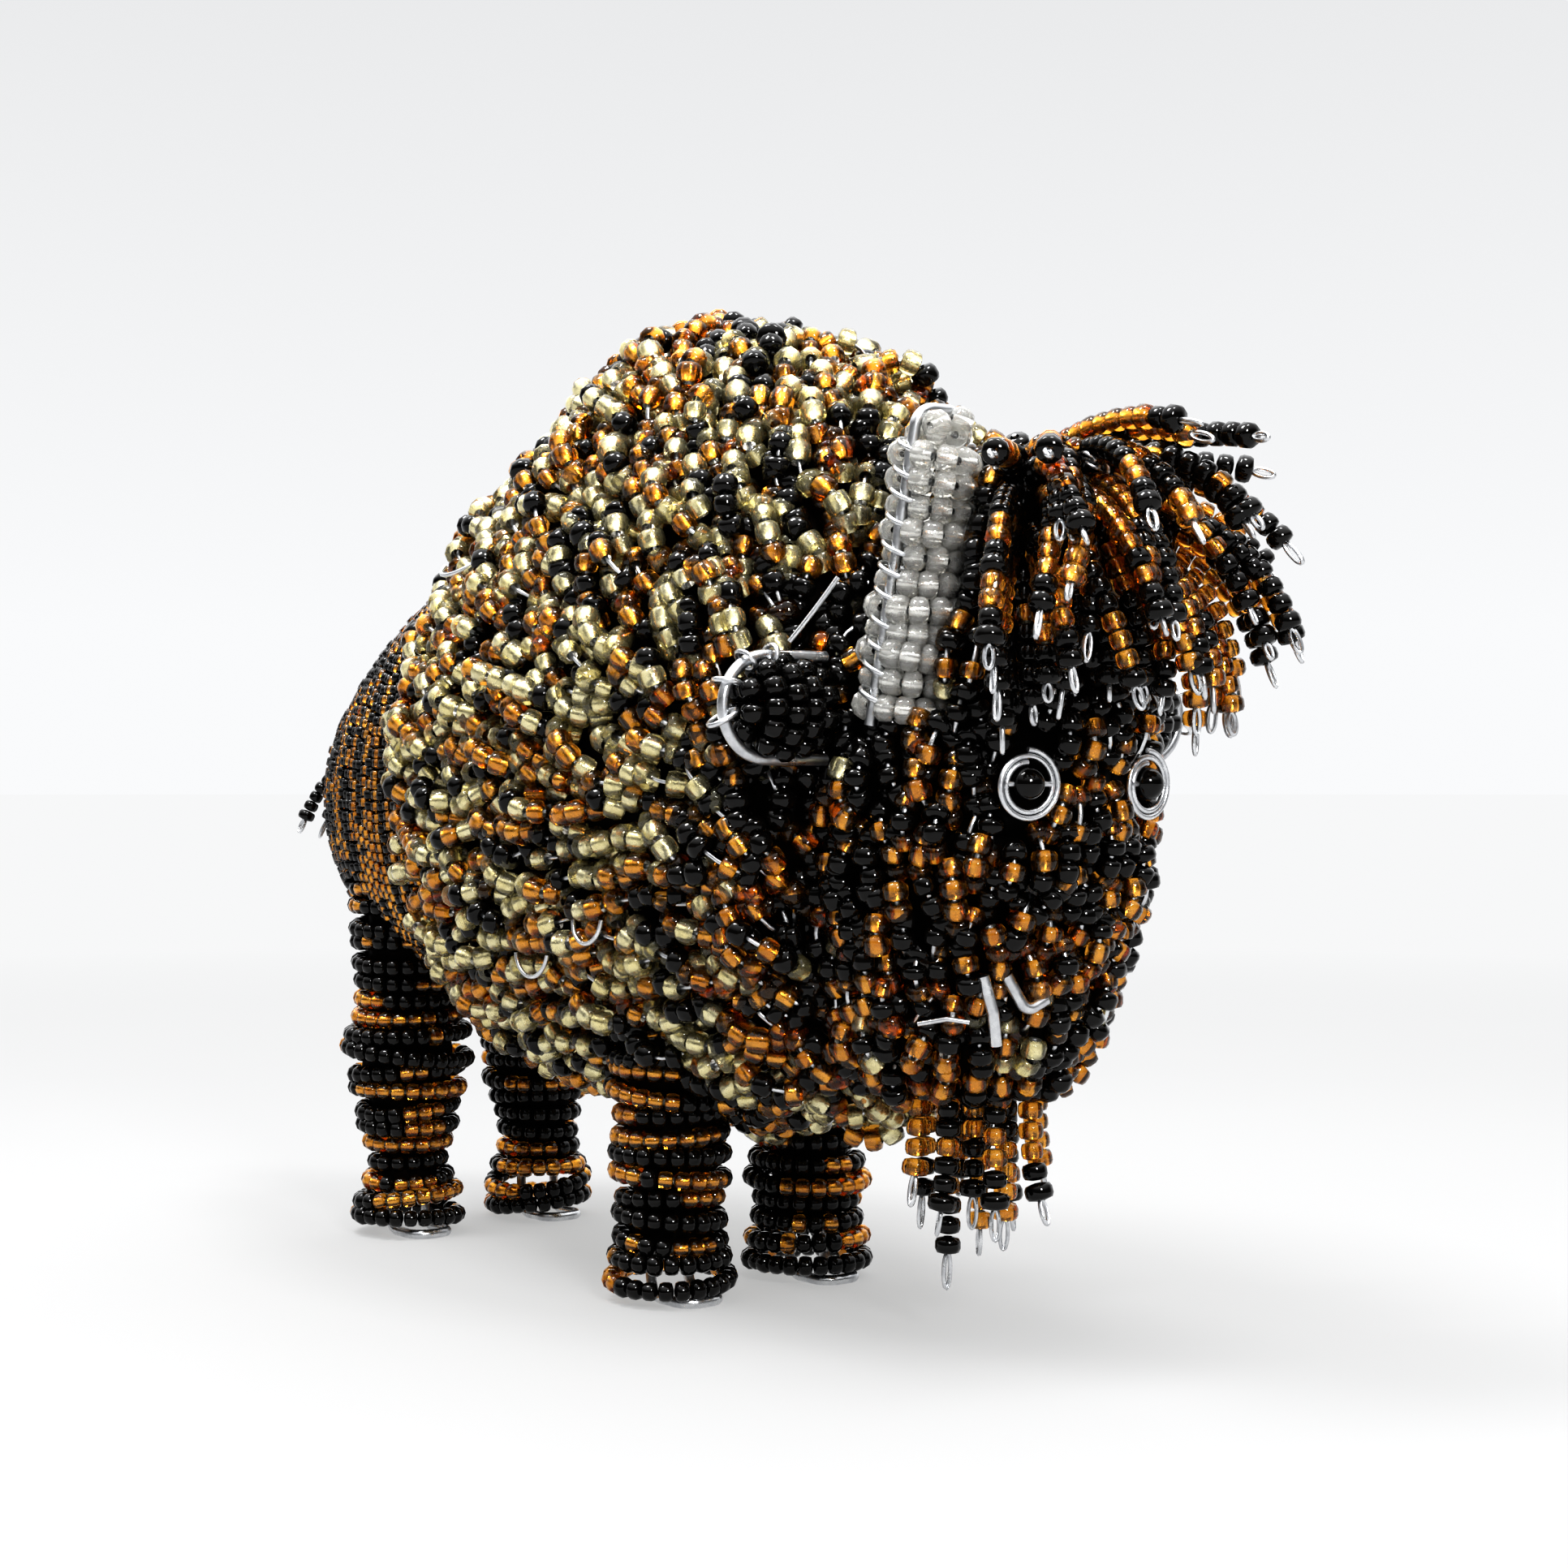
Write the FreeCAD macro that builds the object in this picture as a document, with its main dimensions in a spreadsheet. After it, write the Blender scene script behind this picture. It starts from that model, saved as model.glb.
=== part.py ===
import FreeCAD, Part
import Sketcher
import math
import os

# A bison strung from glass seed beads over a bent aluminium wire frame.
# Millimetres. It faces -Y, its left side is +X, +Z is up, and it stands on Z = 0.
# Everything is built about the centre of the four feet, then moved so that the
# origin is under the middle of the whole figure.

Vector = FreeCAD.Vector
Rotation = FreeCAD.Rotation
Placement = FreeCAD.Placement

doc = FreeCAD.newDocument("beaded_bison")
sheet = doc.addObject("Spreadsheet::Sheet", "sizes")

DIMENSIONS = {
    # wires
    "frame_wire_radius": 0.6,
    "eye_wire_radius": 0.28,
    "thin_wire_radius": 0.25,
    "wire_bend_radius": 2.0,
    "tight_bend_radius": 1.0,
    # coat
    "coat_wall": 4.5,
    "hoop_inset": 5.5,
    "long_wire_inset": 7.2,
    "fit_gap": 0.3,
    # legs
    "leg_half_track": 10.0,
    "leg_half_base": 27.5,
    "leg_bore_radius": 3.8,
    "foot_radius": 6.3,
    "ankle_radius": 5.2,
    "leg_top_radius": 6.6,
    "sole_height": 1.2,
    "foot_height": 5.0,
    "ankle_height": 11.0,
    "shin_height": 20.0,
    "front_leg_top": 34.0,
    "hind_leg_top": 48.0,
    "leg_wire_half_gap": 2.6,
    "leg_wire_top": 58.0,
    "sole_loop_length": 6.5,
    "sole_wire_height": 0.5,
    # head
    "head_turn": 5.3,
    "head_pivot_along": -64.0,
    "head_shift": 1.5,
    "head_back": -56.0,
    # horns
    "horn_base_radius": 5.0,
    "horn_tip_radius": 2.7,
    "horn_bore_radius": 2.0,
    "horn_length": 29.0,
    "horn_across": 12.0,
    "horn_along": -69.0,
    "horn_foot_height": 63.5,
    "horn_lean": 8.5,
    "horn_groove_radius": 0.75,
    "lashing_step": 3.3,
    # ears
    "ear_half_length": 5.5,
    "ear_half_height": 4.2,
    "ear_half_thickness": 2.4,
    "ear_arch_start": 1.6,
    "ear_across": 23.3,
    "ear_along": -62.5,
    "ear_height": 64.5,
    # eyes
    "eye_across": 7.7,
    "eye_along": -81.6,
    "eye_height": 57.0,
    "eye_spread": 10.5,
    "eye_bead_radius": 1.65,
    "eye_bore_radius": 0.35,
    "eye_ring_radius": 3.3,
    "eye_ring_step": 0.31,
    "eye_axle_half_length": 2.6,
    "eye_socket_radius": 4.3,
    "eye_socket_depth": 2.6,
    # strands
    "strand_radius": 1.2,
    "loop_radius": 1.0,
    "crown_along": -72.0,
    "fan_half_angle": 54.0,
    "beard_along": -64.5,
    "beard_top": 25.5,
    # from the middle of the feet to the middle of the whole figure
    "centre_across": 1.6386,
    "centre_along": -19.1782,
}

# Upright oval sections of the body: distance along Y, height of the centre,
# half width and half height. The rump is slimmer than the long coat in front of it.
BODY_SECTIONS = {
    "dock": (46.0, 55.0, 3.2, 4.0),
    "rump": (43.0, 55.0, 10.5, 11.5),
    "croup": (38.0, 55.0, 15.5, 17.0),
    "thigh": (30.0, 55.5, 19.0, 22.5),
    "loin": (20.0, 57.0, 20.8, 27.0),
    "waist": (10.0, 58.25, 21.0, 30.25),
    "flank": (10.0, 58.5, 24.0, 34.5),
    "back": (-5.0, 61.5, 25.5, 40.0),
    "withers": (-19.0, 63.75, 26.5, 43.25),
    "hump": (-32.0, 63.75, 26.5, 43.75),
    "shoulder": (-46.0, 62.25, 24.5, 40.25),
    "neck": (-56.0, 60.0, 21.0, 35.0),
}

# Level oval sections of the head: height, distance of the centre along Y,
# half width and half depth, which is never less than the half width.
HEAD_SECTIONS = {
    "crown": (88.5, -72.0, 5.0, 5.0),
    "brow": (84.5, -70.0, 10.5, 10.8),
    "forehead": (76.0, -67.0, 15.5, 15.6),
    "temple": (66.0, -65.0, 17.0, 18.0),
    "eyeline": (57.0, -64.0, 17.0, 18.0),
    "cheek": (46.0, -63.0, 17.0, 17.8),
    "muzzle": (37.0, -62.0, 15.4, 15.6),
    "lip": (31.0, -61.0, 13.8, 14.0),
    "chin": (26.0, -60.0, 11.0, 11.2),
}

# Tiers of the forelock: number of strands, then distance out from the crown and height
# of the strand's root, middle and tip.
FORELOCK_TIERS = [
    (7, (8.5, 91.8), (14.5, 94.5), (20.5, 92.3)),
    (9, (11.5, 88.0), (18.0, 88.2), (25.0, 80.0)),
    (11, (13.5, 83.6), (19.5, 81.0), (24.5, 71.5)),
    (12, (15.0, 79.0), (17.6, 72.0), (18.6, 63.0)),
]

# Rings of the beard: radius, number of strands and strand length.
BEARD_RINGS = [(2.9, 4, 12.5), (6.2, 8, 10.0)]

SIDES = {"right": -1, "left": 1}


def fill_sheet():
    """Writes each driving dimension into its own row, with its name beside it as an alias."""
    table = dict(DIMENSIONS)
    for name, values in BODY_SECTIONS.items():
        for part, value in zip(("along", "height", "half_width", "half_height"), values):
            table[f"{name}_{part}"] = value
    for name, values in HEAD_SECTIONS.items():
        for part, value in zip(("height", "along", "half_width", "half_depth"), values):
            table[f"{name}_{part}"] = value
    for row, (name, value) in enumerate(table.items(), 1):
        sheet.set(f"A{row}", name)
        sheet.set(f"B{row}", str(value))
        sheet.setAlias(f"B{row}", name)
    doc.recompute()


fill_sheet()


def size(name):
    """The value of one cell of the sheet."""
    return float(sheet.get(name))


def figure_place():
    """Moves the middle of the feet to its place beside the origin."""
    return Placement(Vector(-size("centre_across"), -size("centre_along"), 0), Rotation())


def head_place():
    """The figure's placement with the head's turn about the upright line through its pivot."""
    turn = Rotation(Vector(0, 0, 1), -size("head_turn"))
    pivot = Vector(size("head_shift"), size("head_pivot_along"), 0)
    back = Placement(Vector(0, -size("head_pivot_along"), 0), Rotation())
    return figure_place() * Placement(pivot, turn) * back


parts = []


def finish(piece, label, place):
    """Names a finished sub-part and puts it in its place in the figure."""
    doc.recompute()
    piece.Label = label
    piece.Placement = place * piece.Placement
    parts.append(piece)
    return piece


def evaluate(expression):
    """The number that an expression on the sheet comes to."""
    return float(sheet.evalExpression(str(expression)))


def bound(kind, name, place=None, **expressions):
    """A primitive solid whose dimensions are bound to expressions on the sheet."""
    made = doc.addObject(kind, name)
    for prop, expression in expressions.items():
        made.setExpression(prop, str(expression))
    if place is not None:
        made.Placement = place
    return made


def cut(base, tool, name):
    """The base with the tool taken away."""
    made = doc.addObject("Part::Cut", name)
    made.Base = base
    made.Tool = tool
    return made


def common(base, tool, name):
    """What the base and the tool share."""
    made = doc.addObject("Part::Common", name)
    made.Base = base
    made.Tool = tool
    return made


def fuse(pieces, name):
    """Several shapes as one."""
    made = doc.addObject("Part::MultiFuse", name)
    made.Shapes = pieces
    return made


def group(pieces, name):
    """Several separate solids in one node."""
    made = doc.addObject("Part::Compound", name)
    made.Links = pieces
    return made


def block(name, low, high):
    """A plain block between two corners, a tool for cutting."""
    made = doc.addObject("Part::Box", name)
    made.Length = high[0] - low[0]
    made.Width = high[1] - low[1]
    made.Height = high[2] - low[2]
    made.Placement = Placement(Vector(*low), Rotation())
    return made


def oval(name, minor, major, place):
    """An ellipse whose two radii are expressions on the sheet."""
    made = doc.addObject("Part::Ellipse", name)
    made.MajorRadius = 100
    made.setExpression("MinorRadius", minor)
    made.setExpression("MajorRadius", major)
    made.Placement = place
    return made


# The ellipse's long axis is stood up along Z with its normal along Y,
# or laid along Y with its normal along Z.
UPRIGHT = Rotation(Vector(1, 1, 1), 240)
LEVEL = Rotation(Vector(0, 0, 1), 90)


def body_oval(name, station, inset):
    """The body's oval section at a station, made smaller by an inset."""
    place = Placement(Vector(0, size(f"{station}_along"), size(f"{station}_height")), UPRIGHT)
    return oval(name, f"sizes.{station}_half_width - {inset}", f"sizes.{station}_half_height - {inset}", place)


def head_oval(name, station, inset):
    """The head's oval section at a station, made smaller by an inset."""
    place = Placement(Vector(0, size(f"{station}_along"), size(f"{station}_height")), LEVEL)
    return oval(name, f"sizes.{station}_half_width - {inset}", f"sizes.{station}_half_depth - {inset}", place)


def loft(name, sections):
    """A smooth solid through closed sections."""
    made = doc.addObject("Part::Loft", name)
    made.Sections = sections
    made.Solid = True
    made.Ruled = False
    return made


def coat_tube(name, stations, inner_stations):
    """A hollow length of coat: a loft with a smaller loft taken out of it."""
    outer = loft(f"{name}_outer", [body_oval(f"{name}_{s}_outer", s, 0) for s in stations])
    ovals = [body_oval(f"{name}_{s}_inner", s, "sizes.coat_wall") for s in inner_stations]
    return cut(outer, loft(f"{name}_inner", ovals), name)


def rounded_path(points, bend):
    """A wire of straight runs joined by tangent arcs of one radius."""
    points = [Vector(*p) for p in points]
    edges = []
    start = points[0]
    for here, after in zip(points[1:-1], points[2:]):
        arriving = (here - start).normalize()
        leaving = (after - here).normalize()
        half = arriving.getAngle(leaving) / 2
        back = bend * math.tan(half)
        first = here - arriving * back
        last = here + leaving * back
        inward = (leaving - arriving).normalize()
        middle = here + inward * (bend / math.cos(half) - bend)
        edges.append(Part.LineSegment(start, first).toShape())
        edges.append(Part.Arc(first, middle, last).toShape())
        start = last
    edges.append(Part.LineSegment(start, points[-1]).toShape())
    return Part.Wire(edges)


def swept(name, route, radius):
    """A round wire of an expression's radius swept along a route."""
    path = doc.addObject("Part::Feature", f"{name}_path")
    path.Shape = route
    first = route.Edges[0]
    start = first.valueAt(first.FirstParameter)
    along = first.tangentAt(first.FirstParameter)
    ring = doc.addObject("Part::Circle", f"{name}_ring")
    ring.setExpression("Radius", radius)
    ring.Placement = Placement(start, Rotation(Vector(0, 0, 1), along))
    made = doc.addObject("Part::Sweep", name)
    made.Sections = [ring]
    made.Spine = (path, [f"Edge{i + 1}" for i in range(len(route.Edges))])
    made.Solid = True
    made.Frenet = False
    return made


def hoop(name, spine, start, turn):
    """A heavy wire hoop: a circle swept once round an oval."""
    ring = doc.addObject("Part::Circle", f"{name}_ring")
    ring.setExpression("Radius", "sizes.frame_wire_radius")
    ring.Placement = Placement(start, turn)
    made = doc.addObject("Part::Sweep", name)
    made.Sections = [ring]
    made.Spine = (spine, ["Edge1"])
    made.Solid = True
    return made


def turned_body(name, outline):
    """A PartDesign body turned about Z from an outline of (radius, height) expressions."""
    body = doc.addObject("PartDesign::Body", name)
    sketch = body.newObject("Sketcher::SketchObject", f"{name}_outline")
    plane = next(f for f in body.Origin.OriginFeatures if f.Role == "XZ_Plane")
    sketch.AttachmentSupport = [(plane, "")]
    sketch.MapMode = "FlatFace"
    corners = [Vector(evaluate(radius), evaluate(height), 0) for radius, height in outline]
    following = corners[1:] + corners[:1]
    for here, after in zip(corners, following):
        sketch.addGeometry(Part.LineSegment(here, after), False)
    for i, (radius, height) in enumerate(outline):
        sketch.addConstraint(Sketcher.Constraint("Coincident", i, 2, (i + 1) % len(outline), 1))
        across = sketch.addConstraint(Sketcher.Constraint("DistanceX", -1, 1, i, 1, corners[i].x))
        sketch.setExpression(f"Constraints[{across}]", radius)
        upward = sketch.addConstraint(Sketcher.Constraint("DistanceY", -1, 1, i, 1, corners[i].y))
        sketch.setExpression(f"Constraints[{upward}]", height)
    turn = body.newObject("PartDesign::Revolution", f"{name}_turn")
    turn.Profile = sketch
    turn.ReferenceAxis = (sketch, ["V_Axis"])
    turn.Angle = 360
    return body


# ---------------------------------------------------------------- legs

LEGS = {
    "front_right": (-1, -1, "front"),
    "front_left": (1, -1, "front"),
    "hind_right": (-1, 1, "hind"),
    "hind_left": (1, 1, "hind"),
}


def leg_place(across, along):
    """The middle of one foot on the table."""
    return Placement(Vector(across * size("leg_half_track"), along * size("leg_half_base"), 0), Rotation())


def leg_beads(name, end):
    """Strings of beads wound round one leg, as a sleeve that is open along its middle."""
    outline = [
        ("sizes.leg_bore_radius", "sizes.sole_height"),
        ("sizes.foot_radius", "sizes.sole_height"),
        ("sizes.foot_radius", "sizes.foot_height"),
        ("sizes.ankle_radius", "sizes.ankle_height"),
        ("sizes.leg_top_radius", "sizes.shin_height"),
        ("sizes.leg_top_radius", f"sizes.{end}_leg_top"),
        ("sizes.leg_bore_radius", f"sizes.{end}_leg_top"),
    ]
    return turned_body(name, outline)


def leg_frame(name):
    """One heavy wire, down the leg, forward round the sole and up again, worn flat underneath."""
    half_gap = size("leg_wire_half_gap")
    top = size("leg_wire_top")
    sole = size("sole_wire_height")
    toe = -size("sole_loop_length")
    route = rounded_path(
        [
            (-half_gap, 0, top),
            (-half_gap, 0, sole),
            (-half_gap, toe, sole),
            (half_gap, toe, sole),
            (half_gap, 0, sole),
            (half_gap, 0, top),
        ],
        size("wire_bend_radius"),
    )
    wire = swept(f"{name}_wire", route, "sizes.frame_wire_radius")
    below = block(f"{name}_table", (-20, -20, -5), (20, 20, 0))
    return cut(wire, below, name)


for leg, (across, along, end) in LEGS.items():
    place = figure_place() * leg_place(across, along)
    finish(leg_beads(f"{leg}_leg_beads", end), f"{leg}_leg_beads", place)
    finish(leg_frame(f"{leg}_leg_frame"), f"{leg}_leg_frame", place)


def leg_sockets(name, along, end):
    """Two upright cylinders that clear a pair of legs, to be taken out of the coat."""
    sockets = []
    for side, across in SIDES.items():
        sockets.append(
            bound(
                "Part::Cylinder",
                f"{name}_{side}",
                leg_place(across, along),
                Radius="sizes.leg_top_radius + sizes.fit_gap",
                Height=f"sizes.{end}_leg_top + sizes.fit_gap",
            )
        )
    return fuse(sockets, name)


# ---------------------------------------------------------------- body

WIDE = 60.0
SPLIT_HEIGHT = size("hump_height")

rump = coat_tube(
    "hindquarters_tube",
    ["waist", "loin", "thigh", "croup", "rump", "dock"],
    ["waist", "loin", "thigh", "croup", "rump"],
)
finish(
    cut(rump, leg_sockets("hind_leg_sockets", 1, "hind"), "hindquarters_beads"),
    "hindquarters_beads",
    figure_place(),
)

middle = coat_tube("middle_tube", ["flank", "back", "withers"], ["flank", "back", "withers"])
front = coat_tube("front_tube", ["withers", "hump", "shoulder"], ["withers", "hump", "shoulder"])
front_open = cut(front, leg_sockets("front_leg_sockets", -1, "front"), "front_tube_open")
upper = block("upper_half", (-WIDE, -WIDE, SPLIT_HEIGHT), (WIDE, WIDE, SPLIT_HEIGHT + WIDE))
lower = block("lower_half", (-WIDE, -WIDE, SPLIT_HEIGHT - 1.2 * WIDE), (WIDE, WIDE, SPLIT_HEIGHT))
finish(common(middle, upper, "back_fur"), "back_fur", figure_place())
finish(common(middle, lower, "belly_fur"), "belly_fur", figure_place())
finish(common(front_open, upper, "hump_fur"), "hump_fur", figure_place())
finish(common(front_open, lower, "chest_fur"), "chest_fur", figure_place())


def neck_tube(name, inset):
    """A loft from the shoulder to the back of the head, whose end is turned with the head."""
    here = body_oval(f"{name}_shoulder", "shoulder", inset)
    there = body_oval(f"{name}_end", "neck", inset)
    turned = head_place() * Placement(Vector(0, size("head_back"), size("neck_height")), UPRIGHT)
    there.Placement = figure_place().inverse() * turned
    return loft(name, [here, there])


neck = cut(neck_tube("neck_outer", 0), neck_tube("neck_inner", "sizes.coat_wall"), "neck_fur")
finish(neck, "neck_fur", figure_place())


# ---------------------------------------------------------------- inner frame

def station_point(station, inset, upward):
    """A point on the middle line of the body, above or below the centre of one station."""
    reach = upward * (size(f"{station}_half_height") - size(inset))
    return (0, size(f"{station}_along"), size(f"{station}_height") + reach)


def body_hoop(station):
    """An upright hoop just inside the coat."""
    spine = body_oval(f"{station}_hoop_line", station, "sizes.hoop_inset")
    start = Vector(*station_point(station, "hoop_inset", 1))
    return hoop(f"{station}_hoop", spine, start, Rotation(Vector(0, 0, 1), Vector(1, 0, 0)))


def head_hoop(station):
    """A level hoop just inside the face."""
    spine = head_oval(f"{station}_hoop_line", station, "sizes.hoop_inset")
    reach = size(f"{station}_half_depth") - size("hoop_inset")
    start = Vector(0, size(f"{station}_along") + reach, size(f"{station}_height"))
    return hoop(f"{station}_hoop", spine, start, Rotation(Vector(0, 0, 1), Vector(1, 0, 0)))


HOOP_STATIONS = ["croup", "waist", "back", "withers", "shoulder"]
SPINE_BEND = 4.0
BELLY_BEND = 8.0

finish(group([body_hoop(s) for s in HOOP_STATIONS], "body_hoops"), "body_hoops", figure_place())
finish(group([head_hoop(s) for s in ("eyeline", "cheek")], "head_hoops"), "head_hoops", head_place())

spine_points = [station_point(s, "long_wire_inset", 1) for s in HOOP_STATIONS]
throat_height = size("temple_height") + 4.0
spine_points.append((0, size("head_back"), throat_height))
spine_points.append((0, size("eyeline_along") - 2.0, throat_height))
spine_wire = swept("spine_wire", rounded_path(spine_points, SPINE_BEND), "sizes.frame_wire_radius")
finish(spine_wire, "spine_wire", figure_place())

belly_points = [station_point(s, "long_wire_inset", -1) for s in HOOP_STATIONS]
belly_wire = swept("belly_wire", rounded_path(belly_points, BELLY_BEND), "sizes.frame_wire_radius")
finish(belly_wire, "belly_wire", figure_place())


# ---------------------------------------------------------------- horns

def horn_place(across):
    """The foot of one horn, leaning forward."""
    foot = Vector(across * size("horn_across"), size("horn_along"), size("horn_foot_height"))
    return Placement(foot, Rotation(Vector(1, 0, 0), size("horn_lean")))


def horn_route(below):
    """A hairpin up one edge of the horn, over its tip and down the other edge."""
    over = size("horn_length") + 2 * size("frame_wire_radius")
    foot = size("horn_base_radius")
    tip = size("horn_tip_radius")
    points = [(-foot, 0, -below), (-tip, 0, over), (tip, 0, over), (foot, 0, -below)]
    return rounded_path(points, size("wire_bend_radius"))


def horn_beads(name):
    """Clear beads wound as a cone, grooved along both edges for the hairpin."""
    cone = turned_body(
        f"{name}_cone",
        [
            ("sizes.horn_bore_radius", "0"),
            ("sizes.horn_base_radius", "0"),
            ("sizes.horn_tip_radius", "sizes.horn_length"),
            ("sizes.horn_bore_radius", "sizes.horn_length"),
        ],
    )
    groove = swept(f"{name}_groove", horn_route(3.0), "sizes.horn_groove_radius")
    return cut(cone, groove, name)


def horn_lashing(name):
    """Thin wire turns round the horn, outside the hairpin."""
    step = size("lashing_step")
    rise = size("horn_length")
    turns = []
    for i in range(int(rise / step)):
        height = step * (i + 0.5)
        cone = size("horn_base_radius") + (size("horn_tip_radius") - size("horn_base_radius")) * height / rise
        clear = cone + size("frame_wire_radius") + size("thin_wire_radius") + 0.1
        turns.append(
            bound(
                "Part::Torus",
                f"{name}_{i}",
                Placement(Vector(0, 0, height), Rotation()),
                Radius1=clear,
                Radius2="sizes.thin_wire_radius",
            )
        )
    return group(turns, name)


# ---------------------------------------------------------------- ears

def ear_place(across):
    """The middle of one ear."""
    return Placement(Vector(across * size("ear_across"), size("ear_along"), size("ear_height")), Rotation())


def ear_beads(name):
    """A flattened oval of black beads that points outwards."""
    return bound(
        "Part::Ellipsoid",
        name,
        Radius1="sizes.ear_half_height",
        Radius2="sizes.ear_half_length",
        Radius3="sizes.ear_half_thickness",
    )


def ear_frame(name, across):
    """A heavy wire arch round the edge of the ear, open towards the head: two straight sides and a half circle."""
    half = size("ear_half_height") + size("frame_wire_radius") + size("fit_gap")
    root = -across * size("ear_half_length")
    turn = across * size("ear_arch_start")
    tip = turn + across * half
    edges = [
        Part.LineSegment(Vector(root, 0, half), Vector(turn, 0, half)).toShape(),
        Part.Arc(Vector(turn, 0, half), Vector(tip, 0, 0), Vector(turn, 0, -half)).toShape(),
        Part.LineSegment(Vector(turn, 0, -half), Vector(root, 0, -half)).toShape(),
    ]
    return swept(name, Part.Wire(edges), "sizes.frame_wire_radius")


# ---------------------------------------------------------------- eyes

def eye_place(across):
    """The middle of one eye ring, turned a little outwards."""
    middle = Vector(across * size("eye_across"), size("eye_along"), size("eye_height"))
    return Placement(middle, Rotation(Vector(0, 0, 1), across * size("eye_spread")))


def eye_wire(name):
    """Two turns of wire as a flat spiral of half circles, and the axle across them."""
    step = size("eye_ring_step")
    radius = size("eye_ring_radius")
    middle = 0.0
    way = 1
    start = Vector(0, 0, radius)
    edges = []
    for _ in range(4):
        side = Vector(way * radius, 0, middle)
        end = Vector(0, 0, middle - way * radius)
        edges.append(Part.Arc(start, side, end).toShape())
        start = end
        radius -= step
        middle -= way * step
        way = -way
    ring = swept(f"{name}_ring", Part.Wire(edges), "sizes.eye_wire_radius")
    half = size("eye_axle_half_length")
    axle = bound(
        "Part::Cylinder",
        f"{name}_axle",
        Placement(Vector(-half, 0, 0), Rotation(Vector(0, 0, 1), Vector(1, 0, 0))),
        Radius="sizes.eye_wire_radius",
        Height="2 * sizes.eye_axle_half_length",
    )
    return fuse([ring, axle], name)


def eye_bead(name):
    """A round black bead bored across for its axle, with its poles at the ends of the bore."""
    across = Rotation(Vector(0, 0, 1), Vector(1, 0, 0))
    middle = Placement(Vector(0, 0, 0), across)
    ball = bound("Part::Sphere", f"{name}_ball", middle, Radius="sizes.eye_bead_radius")
    bore = bound(
        "Part::Cylinder",
        f"{name}_bore",
        Placement(Vector(-5, 0, 0), across),
        Radius="sizes.eye_bore_radius",
        Height=10,
    )
    return cut(ball, bore, name)


def eye_socket(name, across):
    """A round hollow in the face for the ring and the bead."""
    back = Placement(Vector(0, size("eye_socket_depth"), 0), Rotation(Vector(0, 0, 1), Vector(0, -1, 0)))
    return bound(
        "Part::Cylinder",
        name,
        eye_place(across) * back,
        Radius="sizes.eye_socket_radius",
        Height="sizes.eye_socket_depth + 6",
    )


# ---------------------------------------------------------------- face

HEAD_STATIONS = list(HEAD_SECTIONS)
HOLLOW_STATIONS = HEAD_STATIONS[1:7]
face_outer = loft("face_outer", [head_oval(f"face_{s}_outer", s, 0) for s in HEAD_STATIONS])
face_ovals = [head_oval(f"face_{s}_inner", s, "sizes.coat_wall") for s in HOLLOW_STATIONS]
face_shell = cut(face_outer, loft("face_inner", face_ovals), "face_shell")
hollows = [block("behind_the_head", (-WIDE, size("head_back"), 0), (WIDE, 0, 120))]
for side, across in SIDES.items():
    hollows.append(eye_socket(f"{side}_eye_socket", across))
    hollows.append(
        bound(
            "Part::Cylinder",
            f"{side}_horn_socket",
            horn_place(across) * Placement(Vector(0, 0, -1.5), Rotation()),
            Radius="sizes.horn_base_radius + 1.6",
            Height="sizes.horn_length + 6",
        )
    )
finish(cut(face_shell, fuse(hollows, "face_hollows"), "face_fur"), "face_fur", head_place())

for side, across in SIDES.items():
    horn = head_place() * horn_place(across)
    finish(horn_beads(f"{side}_horn_beads"), f"{side}_horn_beads", horn)
    frame = swept(f"{side}_horn_frame", horn_route(0.8), "sizes.frame_wire_radius")
    finish(frame, f"{side}_horn_frame", horn)
    finish(horn_lashing(f"{side}_horn_lashing"), f"{side}_horn_lashing", horn)
    ear = head_place() * ear_place(across)
    finish(ear_beads(f"{side}_ear_beads"), f"{side}_ear_beads", ear)
    finish(ear_frame(f"{side}_ear_frame", across), f"{side}_ear_frame", ear)
    eye = head_place() * eye_place(across)
    finish(eye_wire(f"{side}_eye_wire"), f"{side}_eye_wire", eye)
    finish(eye_bead(f"{side}_eye_bead"), f"{side}_eye_bead", eye)

nose_hook = swept(
    "nose_hook",
    rounded_path([(-7.0, -77.6, 38.4), (-5.2, -78.4, 34.9), (-2.9, -78.6, 36.0)], size("tight_bend_radius")),
    "sizes.frame_wire_radius",
)
finish(nose_hook, "nose_hook", head_place())
nose_prong = swept(
    "nose_prong",
    rounded_path([(-9.1, -76.6, 38.4), (-8.1, -76.9, 34.8), (-7.4, -76.5, 31.6)], size("tight_bend_radius")),
    "sizes.frame_wire_radius",
)
finish(nose_prong, "nose_prong", head_place())
mouth_wire = swept(
    "mouth_wire",
    rounded_path([(-13.2, -71.6, 33.6), (-11.6, -74.2, 34.2), (-10.0, -75.6, 33.9)], size("tight_bend_radius")),
    "sizes.thin_wire_radius",
)
finish(mouth_wire, "mouth_wire", head_place())


# ---------------------------------------------------------------- strands

def strand(points, radius):
    """A plain round strand along the arc through three points."""
    arc = Part.Arc(*points).toShape()
    start = arc.valueAt(arc.FirstParameter)
    ring = Part.Wire(Part.makeCircle(radius, start, arc.tangentAt(arc.FirstParameter)))
    return Part.Wire([arc]).makePipeShell([ring], True, False)


def tip_loop(points):
    """A small wire ring just past the end of a strand, in the strand's own plane."""
    arc = Part.Arc(*points).toShape()
    end = arc.valueAt(arc.LastParameter)
    along = arc.tangentAt(arc.LastParameter)
    across = (points[1] - points[0]).cross(points[2] - points[1])
    ring = size("loop_radius")
    thin = size("thin_wire_radius")
    return Part.makeTorus(ring, thin, end + along * (ring + 2 * thin), across)


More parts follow.
